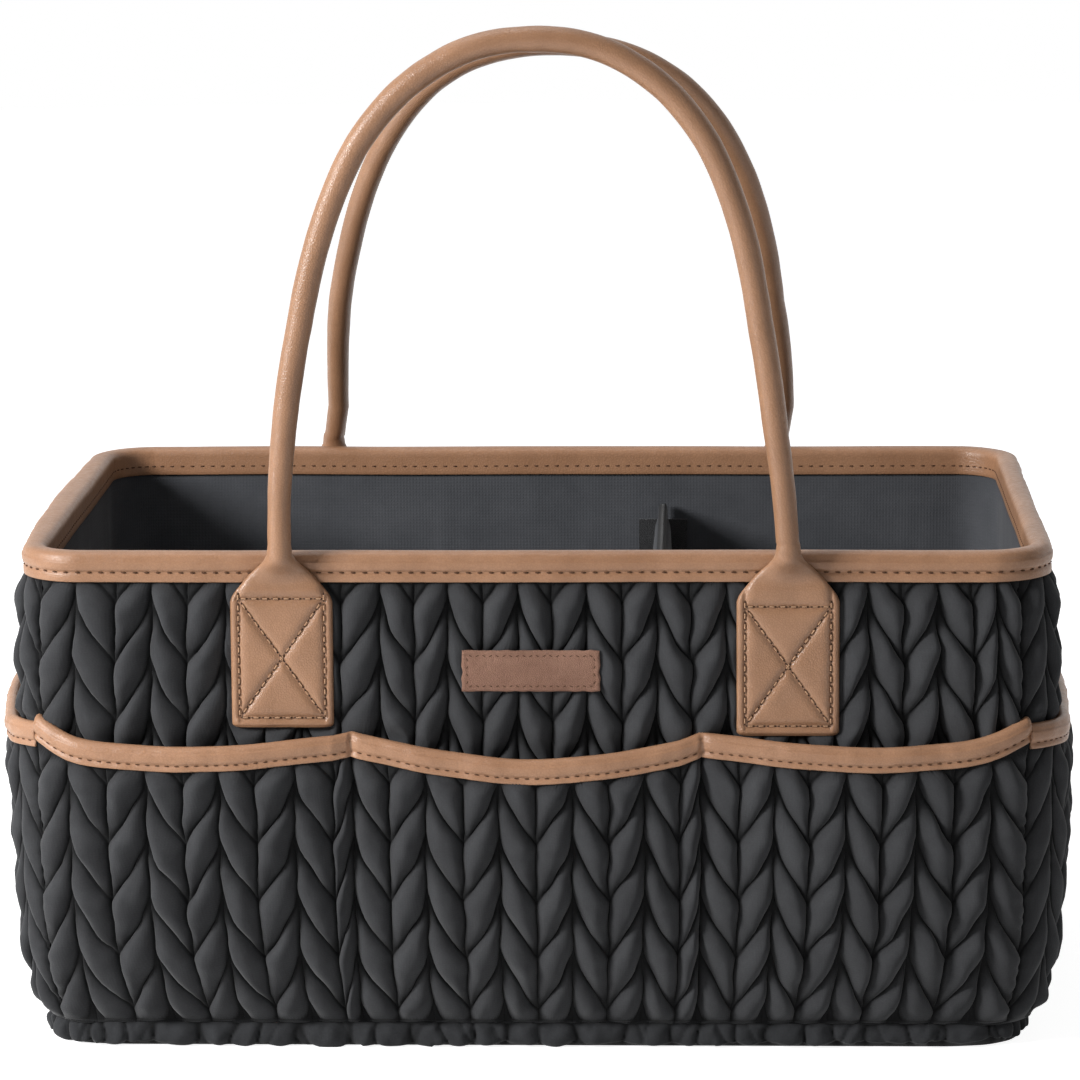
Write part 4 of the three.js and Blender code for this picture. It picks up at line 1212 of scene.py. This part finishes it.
def band_stitches(side, start, end):
    """The row of stitches along a band between two columns."""
    steps = np.linspace(start + SEAM_ROOM, end - SEAM_ROOM, 200)
    path = band_place(side, steps, BAND_SEAM, BAND_OUTER - 0.28)
    outside = band_place(side, steps, BAND_SEAM, 6.0)
    place, along = even_steps(path, BAND_PITCH)
    where = np.linspace(steps[0], steps[-1], len(place))
    outward = [np.interp(where, steps, (outside - path)[:, k]) for k in range(3)]
    return place, along, np.stack(outward, 1)


for label, side in SIDES.items():
    n = side["columns"]
    c = np.linspace(0, n, n * 12 + 1)[:, None]
    points = band_place(side, c, BAND_SECTION[None, :, 0], BAND_SECTION[None, :, 1])
    faces = tube_faces(len(c), len(BAND_SECTION))
    band = make_mesh(f"{label}_pocket_binding", points.reshape(-1, 3), faces)
    finish_piece(band, "caddy", "leather", tan_leather, f"{label}_pocket_band")
    seams = [0, n] if side["turn"] % 2 else [0, SIDE_COLUMNS, n - SIDE_COLUMNS, n]
    runs = [band_stitches(side, start, end) for start, end in zip(seams[:-1], seams[1:])]
    sew(f"{label}_pocket_stitches", runs, BAND_STITCH, "caddy", "leather", brown_thread)

# %% [markdown]
# ## The rim
#
# The same fold, wider, runs round the whole mouth of the box and hides the tops of the
# quilt, the boards and the lining. It is one closed ring.

# %% Rim binding
RIM_OUTER, RIM_INNER, RIM_SEAM = 1.5, -6.9, RIM_BAND - 3.7
RIM_SECTION = fold_outline(
    RIM_OUTER, RIM_INNER, 3.4, RIM_BAND, RIM_SEAM, LEATHER, 0.5, RIM_BAND, 2.5)
RIM_ROWS, RIM_PITCH, RIM_STITCH, AHEAD = 900, 4.2, (2.1, 0.3), 0.0005


def rim_place(turn, depth, out):
    """A point of the rim: the ring's offset plus slow waves that fade towards the fold."""
    s = turn * ring_length()
    soft = 0.3 * waves(s, depth, 55, 31) + 0.14 * waves(s, depth, 17, 32)
    away = np.clip((out - RIM_INNER) / (RIM_OUTER - RIM_INNER), 0, 1)
    sag = 0.3 * waves(s, 0 * depth, 120, 33)
    return place_on_ring(turn, RIM_HEIGHT - depth + sag * 0.6, out + soft * (away - 0.2))


turn = np.linspace(0, 1, RIM_ROWS, endpoint=False)[:, None]
points = rim_place(turn, RIM_SECTION[None, :, 0], RIM_SECTION[None, :, 1])
faces = [grid_faces(RIM_ROWS, len(RIM_SECTION), around=True, over=True)]
rim = make_mesh("rim_binding", points.reshape(-1, 3), faces)
finish_piece(rim, "caddy", "leather", rim_leather, "rim_band")
count = int(ring_length() / RIM_PITCH)
at = (np.arange(count) + 0.5) / count
for label, out, way in (("outer", RIM_OUTER - 0.3, 1), ("inner", RIM_INNER, -1)):
    place = rim_place(at, RIM_SEAM, out)
    along = rim_place(at + AHEAD, RIM_SEAM, out) - rim_place(at - AHEAD, RIM_SEAM, out)
    outward = way * (rim_place(at, RIM_SEAM, out + 3) - place)
    run = (place, along, outward)
    sew(f"rim_{label}_stitches", [run], RIM_STITCH, "caddy", "leather", brown_thread)

# %% [markdown]
# ## Base pad and welt
#
# The base is a thin pad whose edge is gathered into the seam above it, so it ripples. A
# gather is a row of sharp folds: the absolute value of a sine, bent by slow waves so that
# no two are alike. Its middle is flat on the floor. A covered cord, the welt, runs in the
# seam.

# %% Gathered edge
BASE_UNDER = 0.05


def gathers(s, pitch, seed, wander=1.1, sharp=0.5):
    """Folds from 0 in a crease to 1 on a crown: an absolute sine of a wandering phase."""
    phase = wander * waves(s, 0 * s, 60, seed) + 0.45 * wander * waves(s, 0 * s, 25, seed + 1)
    return np.abs(np.sin(np.pi * s / pitch + phase)) ** sharp


def base_fold(s, u):
    """How far each point stands on a crown, 0 to 1: upright creases near the quilt's
    columns, fans that slant one way and the other, and small pleats at the seam."""
    upright = gathers(s + 1.4 * waves(s, 10 * u, 14, 48), 13.1, 41)
    slant = np.sign(np.sin(np.pi * s / 26.2 + 0.6))
    fan = gathers(s + 7.0 * (u - 0.5) * slant, 19.7, 44, 1.6, 0.6)
    pleats = gathers(s + 2.5 * u, 5.1, 53, 2.0, 0.8)
    return upright * (0.35 + 0.65 * fan) * (1 - 0.4 * (1 - pleats) * np.clip(1 - 2.2 * u, 0, 1))


def base_place(turn, u):
    """The pad's edge from the seam above it (u = 0) round to the flat underside (u = 1):
    half a superellipse. It stands out and hangs lower on each crown, lies further in at
    the ends, and lifts off the floor a little towards the right."""
    s = turn * ring_length()
    fold = base_fold(s, u)
    angle = np.pi * (u - 0.5)
    x = place_on_ring(turn, 0 * turn, 0 * turn)[..., 0]
    inset = np.where(x > 0, 4.0, 2.2) * smooth_step(np.abs(x), 150, 180)
    out = -5.4 - inset + 3.9 * np.abs(np.cos(angle)) ** np.where(angle > 0, 0.4, 0.8)
    out = out + (3.1 * (fold - 0.62) + 0.3 * waves(s, 12 * u, 6, 47)) * np.cos(angle) ** 0.45
    height = 4.6 * (1 - np.sign(np.sin(angle)) * np.abs(np.sin(angle)) ** 0.9) + BASE_UNDER
    droop = np.clip(2.4 * u - 1.2, 0, 1) * (1 - smooth_step(u, 0.93, 1.0))
    lift = 1.7 * (1 - fold) + 0.45 * (1 + waves(s, 0 * u, 30, 49)) + 1.7 * smooth_step(x, 60, 170)
    lift = lift - 0.9 * bell(x + 95, 50)
    return place_on_ring(turn, np.maximum(height + lift * droop, BASE_UNDER), out), fold


# %% Base pad
BASE_ROWS, BASE_STEPS, BASE_IN = 1500, 23, -11

turn = np.linspace(0, 1, BASE_ROWS, endpoint=False)[:, None]
u = np.linspace(0, 1, BASE_STEPS)[None, :]
edge, fold = base_place(turn, u)
seam = place_on_ring(turn, 8.5 + 0 * turn, BASE_IN + 0 * turn)
under = place_on_ring(turn, BASE_UNDER + 0 * turn, BASE_IN + 0 * turn)
points = np.concatenate([seam, edge, under], 1)
# The base's puff attribute masks painted shade: low at the seam and in each gather's crease, where
# the cloth is darkened.
puffs = 0.06 + 0.75 * fold**1.3 * np.sin(np.pi * u) ** 0.5
puffs = np.concatenate([0 * turn, puffs, 0.3 + 0 * turn], 1)
s = np.concatenate([turn, turn + 0 * u, turn], 1) * ring_length()
drop = np.concatenate([-4 + 0 * turn, 14 * u + 0 * turn, 20 + 0 * turn], 1)
base = make_mesh(
    "base_cushion", points.reshape(-1, 3), belt_faces(BASE_ROWS, BASE_STEPS + 2),
    np.stack([s, drop], -1).reshape(-1, 2), {"puff": puffs.ravel()})
finish_piece(base, "caddy", "quilt", base_cloth, "base_pad")

# %% Welt
WELT_ROWS, WELT_SIDES, WELT_HEIGHT, WELT_TUCK = 1100, 12, 9.5, 2.4

turn = np.linspace(0, 1, WELT_ROWS, endpoint=False)[:, None]
angle = np.linspace(0, 2 * np.pi, WELT_SIDES, endpoint=False)[None, :]
s = turn * ring_length()
size = 0.9 + 0.12 * waves(s, 0 * s, 9, 52)
seam_out = float(face_out(SIDES["right"], 10, QUILT_FOOT)) + 2.9
height = WELT_HEIGHT + 0.3 * waves(s, 0 * s, 30, 50) + size * np.sin(angle)
out = seam_out + 0.3 * waves(s, 0 * s, 26, 51) - WELT_TUCK + size * np.cos(angle)
# The welt's puff attribute is painted shade: the colour darkens all round, most on the side turned
# in towards the seam.
welt = make_mesh(
    "base_piping", place_on_ring(turn, height, out).reshape(-1, 3),
    [grid_faces(WELT_ROWS, WELT_SIDES, around=True, over=True)],
    np.stack([s + 0 * angle, 1.1 * angle + 0 * s], -1).reshape(-1, 2),
    {"puff": (0.1 + 0.1 * np.cos(angle) + 0 * turn).ravel()})
finish_piece(welt, "caddy", "quilt", base_cloth, "base_welt")

# %% [markdown]
# ## Lining
#
# The lining is one bag of plain cloth, walls and floor. Its outline is carried round the
# ring and closed by the floor, inside and out, with a few slow wrinkles in the walls.

# %% Lining
FLOOR_TOP, LINING_TOP, LINING_OUT, LINING = 12.4, 186.2, -4.6, 0.8
LINING_ROWS, LINING_STEPS, WRINKLE_TOP = 560, 30, 176

wall = FLOOR_TOP + (LINING_TOP - FLOOR_TOP) * np.linspace(0, 1, LINING_STEPS) ** 1.1
outer_wall = wall[::-1].copy()
outer_wall[-1] = FLOOR_TOP - LINING
z = np.concatenate([wall, outer_wall])[None, :]
out = np.concatenate([
    stiff_out(wall) + LINING_OUT - LINING, stiff_out(outer_wall) + LINING_OUT])[None, :]
turn = np.linspace(0, 1, LINING_ROWS, endpoint=False)[:, None]
s = turn * ring_length()
free = np.sin(np.pi * np.clip((z - FLOOR_TOP) / (WRINKLE_TOP - FLOOR_TOP), 0, 1)) ** 0.7
crumple = 0.35 * waves(s, z, 45, 91) + 0.16 * waves(s * 1.6, z * 0.7, 16, 92)
points = place_on_ring(turn, z, out + np.minimum(crumple, 0.2) * free)
lining_piece = make_mesh(
    "lining_cloth_bag", points.reshape(-1, 3), belt_faces(LINING_ROWS, 2 * LINING_STEPS),
    np.stack([s + 0 * z, z + 0 * s], -1).reshape(-1, 2))
finish_piece(lining_piece, "caddy", "lining", lining_cloth, "lining_bag")

# %% [markdown]
# ## Dividers
#
# Each divider is a board in a padded cloth sleeve, open along its hem so that the board
# can slide in. A rolled edge runs round it, with a stitched groove inside it, and the
# padding swells further in. The section is carried from one end to the other.

# %% Divider sleeves
DIVIDER_FOOT, DIVIDER_TOP, DIVIDER_HALF, CROSS_PLACE = 12.7, 165.0, 4.0, 45.0
DIVIDER_PITCH, DIVIDER_STITCH = 4.2, (2.4, 0.3)


def divider_end(reach):
    """How far out a divider ends at each height: short of its hook tape above, and of the
    lining below."""
    return lambda z: np.minimum(reach - 8.7, reach + stiff_out(z) - 6.0)


def pad_thickness(inset):
    """Half the thickness by the distance from the edge: a round roll, a stitched groove,
    then padding that swells as 1 less an exponential."""
    roll = 1.9 * np.sqrt(np.clip(1 - ((inset - 1.9) / 1.9) ** 2, 0, 1)) * (inset < 3.8)
    swell = 1 - np.exp(-np.maximum(inset - 4.4, 0) / 3.2)
    pad = 1.45 + (DIVIDER_HALF - 1.45) * swell
    return np.where(inset < 4.0, np.maximum(roll, 1.25), pad)


def turn_across(vectors):
    """Turns a piece drawn along the box so that it runs from front to back."""
    return np.stack([-vectors[..., 1], vectors[..., 0], vectors[..., 2]], -1)


def sleeve_mesh(name, low_end, high_end, turned, seed):
    """Carries the sleeve's section, an upside-down U of (half-thickness, height), from
    the low end to the high end. Both ends are functions of the height."""
    near_edge = np.concatenate([np.linspace(0, 4.6, 14), np.linspace(6, 20, 8)])
    u = np.concatenate([near_edge, [28, 40]])
    total = float(high_end(np.array(100.0)) - low_end(np.array(100.0)))
    middle = np.linspace(50, total - 50, 24)
    u = np.concatenate([u, middle, (total - u)[::-1]])[:, None] / total
    drop = np.concatenate([near_edge, np.linspace(26, DIVIDER_TOP - DIVIDER_FOOT, 18)])
    z = np.concatenate([(DIVIDER_TOP - drop)[::-1], (DIVIDER_TOP - drop)[1:]])[None, :]
    way = np.concatenate([-np.ones(len(drop)), np.ones(len(drop) - 1)])[None, :]
    low, high = low_end(z), high_end(z)
    along = low + (high - low) * u
    inset = np.minimum(DIVIDER_TOP - z, np.minimum(along - low, high - along))
    thick = pad_thickness(inset)
    swell = 0.25 * waves(along, z, 40, seed) * np.clip((inset - 5) / 8, 0, 1)
    outer = np.stack([along, way * (thick - np.abs(swell)), z + 0 * along], -1)
    slot = [DIVIDER_FOOT, 80.0, 150.0, 161.5]
    z_slot = np.array(slot + slot[::-1])[None, :]
    way = np.repeat([1, -1.0], 4)[None, :]
    low, high = low_end(z_slot), high_end(z_slot)
    along_slot = low + (high - low) * u
    is_open = np.minimum(along_slot - low, high - along_slot) > 3.0
    inner = [along_slot, way * np.where(is_open, 1.3, 0.1), z_slot + 0 * along_slot]
    points = np.concatenate([outer, np.stack(inner, -1)], 1)
    faces = tube_faces(len(u), points.shape[1])
    uv = np.stack([points[..., 0], points[..., 2]], -1).reshape(-1, 2)
    # The puff attribute is painted shade: darker at the rolled edge, darkest in the stitched
    # groove, and dark inside the slot.
    puffs = np.concatenate([np.clip(0.1 + (thick - 1.2) / 4, 0, 1), 0.3 + 0 * along_slot], 1)
    if turned:
        points = turn_across(points) + np.array([CROSS_PLACE, 0, 0])
    return make_mesh(name, points.reshape(-1, 3), faces, uv, {"puff": puffs.ravel()})


def divider_stitches(low, high, turned):
    """A row of stitches along the top of each face, in the groove below the rolled edge."""
    at = np.arange(low + 2, high - 2, DIVIDER_PITCH)
    runs = []
    for way in (-1, 1):
        place = np.stack([at, 0 * at + way * 1.35, 0 * at + DIVIDER_TOP - 4.2], 1)
        run = [place, np.array([[1.0, 0, 0]]) + 0 * place, np.array([[0, way, 0.0]]) + 0 * place]
        if turned:
            run = [turn_across(part) for part in run]
            run[0] = run[0] + np.array([CROSS_PLACE, 0, 0])
        runs.append(run)
    return runs


# %% Dividers
end_by_depth, end_by_length = [divider_end(SIDES[label]["reach"]) for label in ("front", "right")]
cross = sleeve_mesh(
    "cross_divider_pad", lambda z: -end_by_depth(z), end_by_depth, True, 201)
finish_piece(cross, "cross_divider", "lining", sleeve_cloth, "cross_divider_sleeve")
long = sleeve_mesh(
    "long_divider_pad", lambda z: -end_by_length(z), lambda z: 37.7 + 0 * z, False, 202)
finish_piece(long, "long_divider", "lining", sleeve_cloth, "long_divider_sleeve")
for name, low, high, turned in (("cross", -110.5, 110.5, True), ("long", -175.6, 33.5, False)):
    runs = divider_stitches(low, high, turned)
    stitches, body = f"{name}_divider_stitches", f"{name}_divider"
    sew(stitches, runs, DIVIDER_STITCH, body, "lining", grey_thread)

# %% [markdown]
# ## Handles
#
# Each handle is one strip of leather. Its middle is rolled round a cord and arches over
# the box, and each end opens out into a flat tab that is sewn to the front or the back.
# One grid carries a changing section from tab to tab: a thin plate, a plate with a fading
# ridge where the roll begins, then a round tube.

# %% Tabs
TUBE, TUBE_OUT, HANDLE_RISE, ARCH_POWER = 4.7, 130.1, 187.2, 2.3
TAB_BACK, TAB_FACE, TAB_CORNER = 125.5, 127.9, 1.6
TAB_SEAM, TAB_SEAM_FOOT, TAB_SEAM_TOP = 15.7, 3.6, 48.0
NECK, NECK_TUBE = 188.0, 4.25
FLARE_HEIGHTS = np.array([166, 170.0, 172.2, 174.3, 177.3, 180, 182, 183.8, 185.8, 188, 192])
FLARE_HALVES = np.array([18.75, 18.75, 17.9, 16.4, 13.9, 11.6, 9.5, 7.6, 5.9, 4.7, 4.25])
OUTWARD = np.array([0, -1.0, 0])


def half_turn(points):
    """Turns points or directions of the front half way round, to the back."""
    return points * np.array([-1, -1, 1.0])


def leg_half(z, foot):
    """Half the tab's width by height: read off the cut outline, with round lower corners
    whose half-width follows a circle's edge."""
    half = np.interp(z, FLARE_HEIGHTS, FLARE_HALVES)
    corner = np.clip(1 - (z - foot) / TAB_CORNER, 0, 1)
    return half - TAB_CORNER * (1 - np.sqrt(1 - corner**2))


def tab_relief(x, z, foot):
    """The tab's face: grooves along the stitched box and its cross, bell curves across
    each line, and a soft puff between them."""
    left, bottom, top = TAB_SEAM, foot + TAB_SEAM_FOOT, foot + TAB_SEAM_TOP
    inside, aside = (z > bottom - 1) & (z < top + 1), np.abs(x)
    lines = [
        np.where(z > bottom - 0.5, np.abs(aside - left) + 0 * z, 9),
        np.where(aside < left + 0.5, np.abs(z - bottom), 9),
        np.where(aside < left + 1, np.abs(z - top), 9)]
    slope = (top - bottom) / (2 * left)
    for way in (-1, 1):
        away = np.abs(z - (bottom + top) / 2 - way * slope * x) / np.hypot(1, slope)
        lines.append(np.where(inside & (aside < left), away, 9))
    near = np.minimum.reduce(lines)
    return 0.60 * (1 - bell(near, 1.9)) - 0.60 * bell(near, 0.6)


def tab_section(z, foot, way, phi_front, phi_back, seed):
    """Both faces of the tab at each height, as (sideways, outwards) grids. Outwards is a
    plate's superellipse plus a ridge that grows with the height, then a circle."""
    half, up = leg_half(z, foot)[:, None], z[:, None]
    rolled = smooth_step(up, 180.5, 189.5)
    ridge = 4.6 * smooth_step(up, 174.5, 187.5) ** 1.15
    edge = smooth_step(up, foot - 0.2, foot + 1.4)
    flat = (TAB_FACE - TAB_BACK) / 2
    x, x_back = [half * np.sin(phi)[None, :] for phi in (phi_front, phi_back)]
    round_front, round_back = [
        (1 - np.abs(np.sin(phi)) ** 14)[None, :] ** 0.5 for phi in (phi_front, phi_back)]
    rise = flat + flat * round_front * (0.35 + 0.65 * edge) - flat * (1 - round_front) * 0.6
    bump = ridge * np.clip(1 - (x / (half + 0.01)) ** 2, 0, 1) ** (2.2 - 0.22 * ridge)
    face = TAB_BACK + rise + bump * (1 + 0.35 * smooth_step(up, 183, 188))
    relief = tab_relief(x, up, foot) * round_front * (1 - rolled) * smooth_step(178 - up, 0, 4)
    face = face + relief + 0.16 * waves(x, up, 16, seed) * round_front
    behind = TAB_BACK + flat * (1 - round_back) * 0.4 + 0 * x_back
    front, behind = [
        plate * (1 - rolled) + (TUBE_OUT + NECK_TUBE * np.cos(phi)[None, :]) * rolled
        for plate, phi in ((face, phi_front), (behind, phi_back))]
    return np.concatenate([x, x_back], 1) * way, np.concatenate([front, behind], 1)


# %% Arch
def lean_handle(points, angle):
    """Tips the arch about its hinge line: each point turns by the angle times a smooth
    step of its height past the neck."""
    y, z = points[..., 1] + TUBE_OUT, points[..., 2] - NECK
    turn = np.radians(angle) * smooth_step(points[..., 2], 182, 197)
    return np.stack([
        points[..., 0],
        y * np.cos(turn) + z * np.sin(turn) - TUBE_OUT,
        z * np.cos(turn) - y * np.sin(turn) + NECK], -1)


def arch_path(rise, inward, sway, ends, count):
    """The rolled part's middle line between both necks, less some mm at its ends: places
    x and z, the direction across the line, and the length so far. The arch is a
    superellipse that the hand has bent: tables of (share of the rise, mm) draw both its
    legs inward, or sway them to one side."""
    theta = np.pi - np.linspace(0, np.pi, 3001)
    x = TAB_PLACE * np.sign(np.cos(theta)) * np.abs(np.cos(theta)) ** (2 / ARCH_POWER)
    high = np.abs(np.sin(theta)) ** (2 / ARCH_POWER)
    x = x - np.sign(x) * np.interp(high, *inward) + np.interp(high, *sway)
    z = NECK + rise * high
    steps = np.concatenate([[0], np.cumsum(np.hypot(np.diff(x), np.diff(z)))])
    keep = np.linspace(ends, steps[-1] - ends, count)
    x, z = np.interp(keep, steps, x), np.interp(keep, steps, z)
    dx, dz = np.gradient(x), np.gradient(z)
    length = np.hypot(dx, dz)
    return x, z, np.stack([-dz / length, 0 * x, dx / length], -1), keep


def arch_tube(rise, inward, sway, ends, count, around, radius):
    """A tube along the arch, as rings of points. radius is a function of the share of the
    rise, the length so far and the angle round the tube."""
    x, z, e1, keep = arch_path(rise, inward, sway, ends, count)
    size = radius(((z - NECK) / rise)[:, None], keep[:, None], around[None, :])[..., None]
    line = np.stack([x, 0 * x - TUBE_OUT, z], -1)[:, None, :]
    return line + size * (
        np.sin(around)[None, :, None] * e1[:, None, :] + np.cos(around)[None, :, None] * OUTWARD)


# %% Handles
def handle_grid(foots, angle, rise, inward, sway, seed):
    """The whole handle as one grid of sections: left tab, arch, right tab."""
    phi_front = np.linspace(-np.pi / 2, np.pi / 2, 61)
    phi_back = np.linspace(np.pi / 2, 1.5 * np.pi, 25)[1:-1]
    legs = []
    for way, foot in zip((-1, 1), foots):
        corner = foot + TAB_CORNER * (1 - np.cos(np.linspace(0, np.pi / 2, 7)))
        z = np.concatenate([corner, np.arange(foot + 2.2, 172, 0.75), np.arange(172, 192.5, 0.5)])
        aside, outwards = tab_section(z, foot, way, phi_front, phi_back, seed + way)
        legs.append(np.stack([way * TAB_PLACE + aside, -outwards, z[:, None] + 0 * aside], -1))

    def worn(high, keep, _):
        """The neck's radius, growing to the tube's by a smooth step, times small waves."""
        thick = NECK_TUBE + (TUBE - NECK_TUBE) * smooth_step(high, 0.05, 0.35)
        wear = 0.012 * waves(keep, 0 * keep, 40, seed + 5)
        return thick * (1 + wear + 0.008 * waves(keep, 0 * keep, 11, seed + 6))
    arch = arch_tube(rise, inward, sway, 4.9, 230, np.concatenate([phi_front, phi_back]), worn)
    return lean_handle(np.concatenate([legs[0], arch, legs[1][::-1]]), angle)


def make_handle(label, foots, angle, rise, inward, sway, turned, seed):
    """Closes the grid at both feet and gives it leather. The arch is tipped at the necks by the
    given angle.
    """
    grid = handle_grid(foots, angle, rise, inward, sway, seed)
    if turned:
        grid = half_turn(grid)
    faces = tube_faces(*grid.shape[:2])
    piece = make_mesh(f"{label}_handle_leather", grid.reshape(-1, 3), faces)
    nodes = [f"{label}_{part}" for part in ("handle_cover", "left_handle_tab", "right_handle_tab")]
    finish_piece(piece, None, "leather", handle_hide, *nodes)
    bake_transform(piece)


# How far the legs are drawn inward, and how far they sway: tables of (share of the rise, mm).
FRONT_BEND = (
    ([0, 0.12, 0.24, 0.36, 0.45, 0.53, 0.6, 0.7, 0.8, 0.9, 0.95, 1],
     [0, 0.7, 1.9, 2.5, 2.7, 2.1, 1.4, 0.5, -0.6, -0.4, 0.3, 0]),
    ([0, 0.12, 0.24, 0.3, 0.42, 0.53, 0.6, 0.8, 1],
     [0, -0.7, -1.2, -1.2, -1.0, -0.6, -0.2, 0.6, 1.6]))
BACK_BEND = (
    ([0, 0.37, 0.51, 0.65, 0.8, 0.9, 0.97, 1], [0, -0.2, -0.8, -1.8, -2.7, -3.0, -2.0, 0]),
    ([0, 0.1, 0.2, 0.37, 0.51, 0.65, 0.8, 0.9, 1],
     [0, -2.6, -2.4, -1.6, -2.4, -2.9, -3.1, -2.8, -2.0]))
HANDLES = [
    ("front", (123.3, 120.3), 0.0, HANDLE_RISE - 0.4, *FRONT_BEND, False, 301),
    ("back", (TAB_FOOT, TAB_FOOT), 24.0, HANDLE_RISE + 0.8, *BACK_BEND, True, 321)]
for handle in HANDLES:
    make_handle(*handle)


# %% [markdown]
# The tabs are held by a row of stitches that runs up both sides and along the foot, a
# second row across the top and a cross between them.

# %% Tab stitches
TAB_PITCH, TAB_STITCH = 3.7, (3.7, 0.33, 0.28)


def tab_lines(foot):
    """The stitched lines of one tab as pairs of ends, in (sideways, height)."""
    left, bottom, top = TAB_SEAM, foot + TAB_SEAM_FOOT, foot + TAB_SEAM_TOP
    corners = [(-left, top + 2.5), (-left, bottom), (left, bottom), (left, top + 2.5)]
    lines = [*zip(corners[:-1], corners[1:]), ((-left, top), (left, top))]
    for way in (-1, 1):
        aside = way * (left - 0.9)
        lines.append(((aside, top - 1.2), (-aside, bottom + 1.2)))
    return lines


for label, foots, *_, turned, _ in HANDLES:
    runs = []
    for way, foot in zip((-1, 1), foots):
        for ends in np.array(tab_lines(foot)):
            path = np.stack([way * TAB_PLACE + ends[:, 0], [0.12 - TAB_FACE] * 2, ends[:, 1]], 1)
            place, along = even_steps(path, TAB_PITCH)
            run = (place, along, OUTWARD + 0 * place)
            runs.append([half_turn(part) for part in run] if turned else run)
    sew(f"{label}_tab_stitches", runs, TAB_STITCH, "caddy", "leather", tan_thread)


# %% [markdown]
# Inside each rolled handle is a filler cord, laid from three strands. Nobody sees it, but
# it is there: one grid whose radius has three lobes that twist along the way.

# %% Filler cords
CORD_RADIUS, CORD_RINGS, CORD_SIDES, STRAND_TWIST = 2.8, 260, 24, 5.0


def strands(_, keep, around):
    """The cord's radius: one plus a cosine of three times the angle less the twist."""
    return CORD_RADIUS * (1 + 0.12 * np.cos(3 * (around - keep / STRAND_TWIST)))


for label, _, angle, *bend, turned, _ in HANDLES:
    around = np.linspace(0, 2 * np.pi, CORD_SIDES, endpoint=False)
    grid = lean_handle(arch_tube(*bend, 12, CORD_RINGS, around, strands), angle)
    if turned:
        grid = half_turn(grid)
    faces = tube_faces(CORD_RINGS, CORD_SIDES)
    filler = make_mesh(f"{label}_handle_filler", grid.reshape(-1, 3), faces)
    finish_piece(filler, f"{label}_handle", "cord", cord_cotton, f"{label}_handle_cord")

# %% [markdown]
# ## The patch
#
# A small bare patch of suede is sewn to the front. It was cut by hand, so its edge
# wanders a little, and its face waves slightly over the puffs below it. Its front and
# back are grids, joined by a strip of quads round the edge.

# %% Patch
PATCH_FACE, PATCH_BACK, PATCH_SEAM = 129.1, 128.0, 2.0


def patch_face(x, z):
    """The patch's front: a rounded edge, grooves along the seam and slow waves."""
    near_x, near_z = PATCH_HALF - np.abs(x), PATCH_HEIGHT / 2 - np.abs(z)
    inset = np.minimum(near_x, near_z)
    line = np.minimum(
        np.abs(near_x - PATCH_SEAM) + 9 * (near_z < 1.6),
        np.abs(near_z - PATCH_SEAM) + 9 * (near_x < 1.6))
    edge = 0.55 * (1 - np.exp(-np.maximum(inset, 0) / 0.45)) - 0.55
    return PATCH_FACE + edge - 0.16 * bell(line, 0.6) + 0.14 * waves(x, z, 14, 401)


x = PATCH_HALF * np.sin(np.linspace(-1, 1, 141) * np.pi / 2)[None, :]
z = PATCH_HEIGHT / 2 * np.sin(np.linspace(-1, 1, 61) * np.pi / 2)[:, None]
wide = x * (1 + 0.006 * waves(0 * x, z, 5, 402)) - PATCH_ASIDE
tall = z * (1 + 0.02 * waves(x, 0 * z, 7, 403)) + PATCH_MIDDLE
front = np.stack([wide + 0 * z, -patch_face(x, z), tall + 0 * x], -1)
behind = front * np.array([1, 0, 1.0]) - np.array([0, PATCH_BACK, 0])
rows, columns = front.shape[:2]
grid = np.arange(rows * columns).reshape(rows, columns)
rim = np.concatenate([grid[0, :-1], grid[:-1, -1], grid[-1, :0:-1], grid[:0:-1, 0]])
rim_behind = rim + rows * columns
faces = [
    grid_faces(rows, columns), grid_faces(rows, columns, rows * columns)[:, ::-1],
    np.stack([rim, rim_behind, np.roll(rim_behind, -1), np.roll(rim, -1)], -1)]
points = np.concatenate([front.reshape(-1, 3), behind.reshape(-1, 3)])
patch = make_mesh("front_patch_suede", points, faces)
finish_piece(patch, "caddy", "patch", patch_suede, "front_patch")

# %% Patch stitches
PATCH_PITCH, PATCH_STITCH, STITCH_LEAN = 2.4, (1.7, 0.2, 0.3), 0.5

half_x, half_z = PATCH_HALF - PATCH_SEAM, PATCH_HEIGHT / 2 - PATCH_SEAM
border = np.array([(-1, 1), (1, 1), (1, -1), (-1, -1), (-1, 1)]) * [half_x, half_z]
share = np.linspace(0, 1, 60)[:, None]
runs = []
for a, b in zip(border[:-1], border[1:]):
    flat = a + (b - a) * share
    face = 0.05 - patch_face(flat[:, 0], flat[:, 1])
    path = np.stack([flat[:, 0] - PATCH_ASIDE, face, flat[:, 1] + PATCH_MIDDLE], 1)
    runs.append(even_steps(path, PATCH_PITCH))
place, along = [np.concatenate(parts) for parts in zip(*runs)]
across = np.cross(along, OUTWARD)
along, across = [way / np.linalg.norm(way, axis=1, keepdims=True) for way in (along, across)]
lean = np.where(np.arange(len(place)) % 2 == 0, STITCH_LEAN, -STITCH_LEAN)[:, None]
run = (place, along + lean * across, OUTWARD + 0 * place)
sew("patch_stitches", [run], PATCH_STITCH, "caddy", "patch", brown_thread)

# %% [markdown]
# ## The hidden pieces
#
# Boards and hook tapes keep their CAD shapes, because those are right as they are. They
# only need their own finish in place of the plain colour.

# %% Finishes for the CAD pieces that stay
for name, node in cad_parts.items():
    if node.hide_render:
        continue
    finish = hook_tape if name.endswith(("_hook", "_strip", "_loop")) else fibre_board
    if not node.material_slots:
        node.data.materials.append(finish)
    for holder in node.material_slots:
        holder.material = finish
    print(name, "->", finish.name)
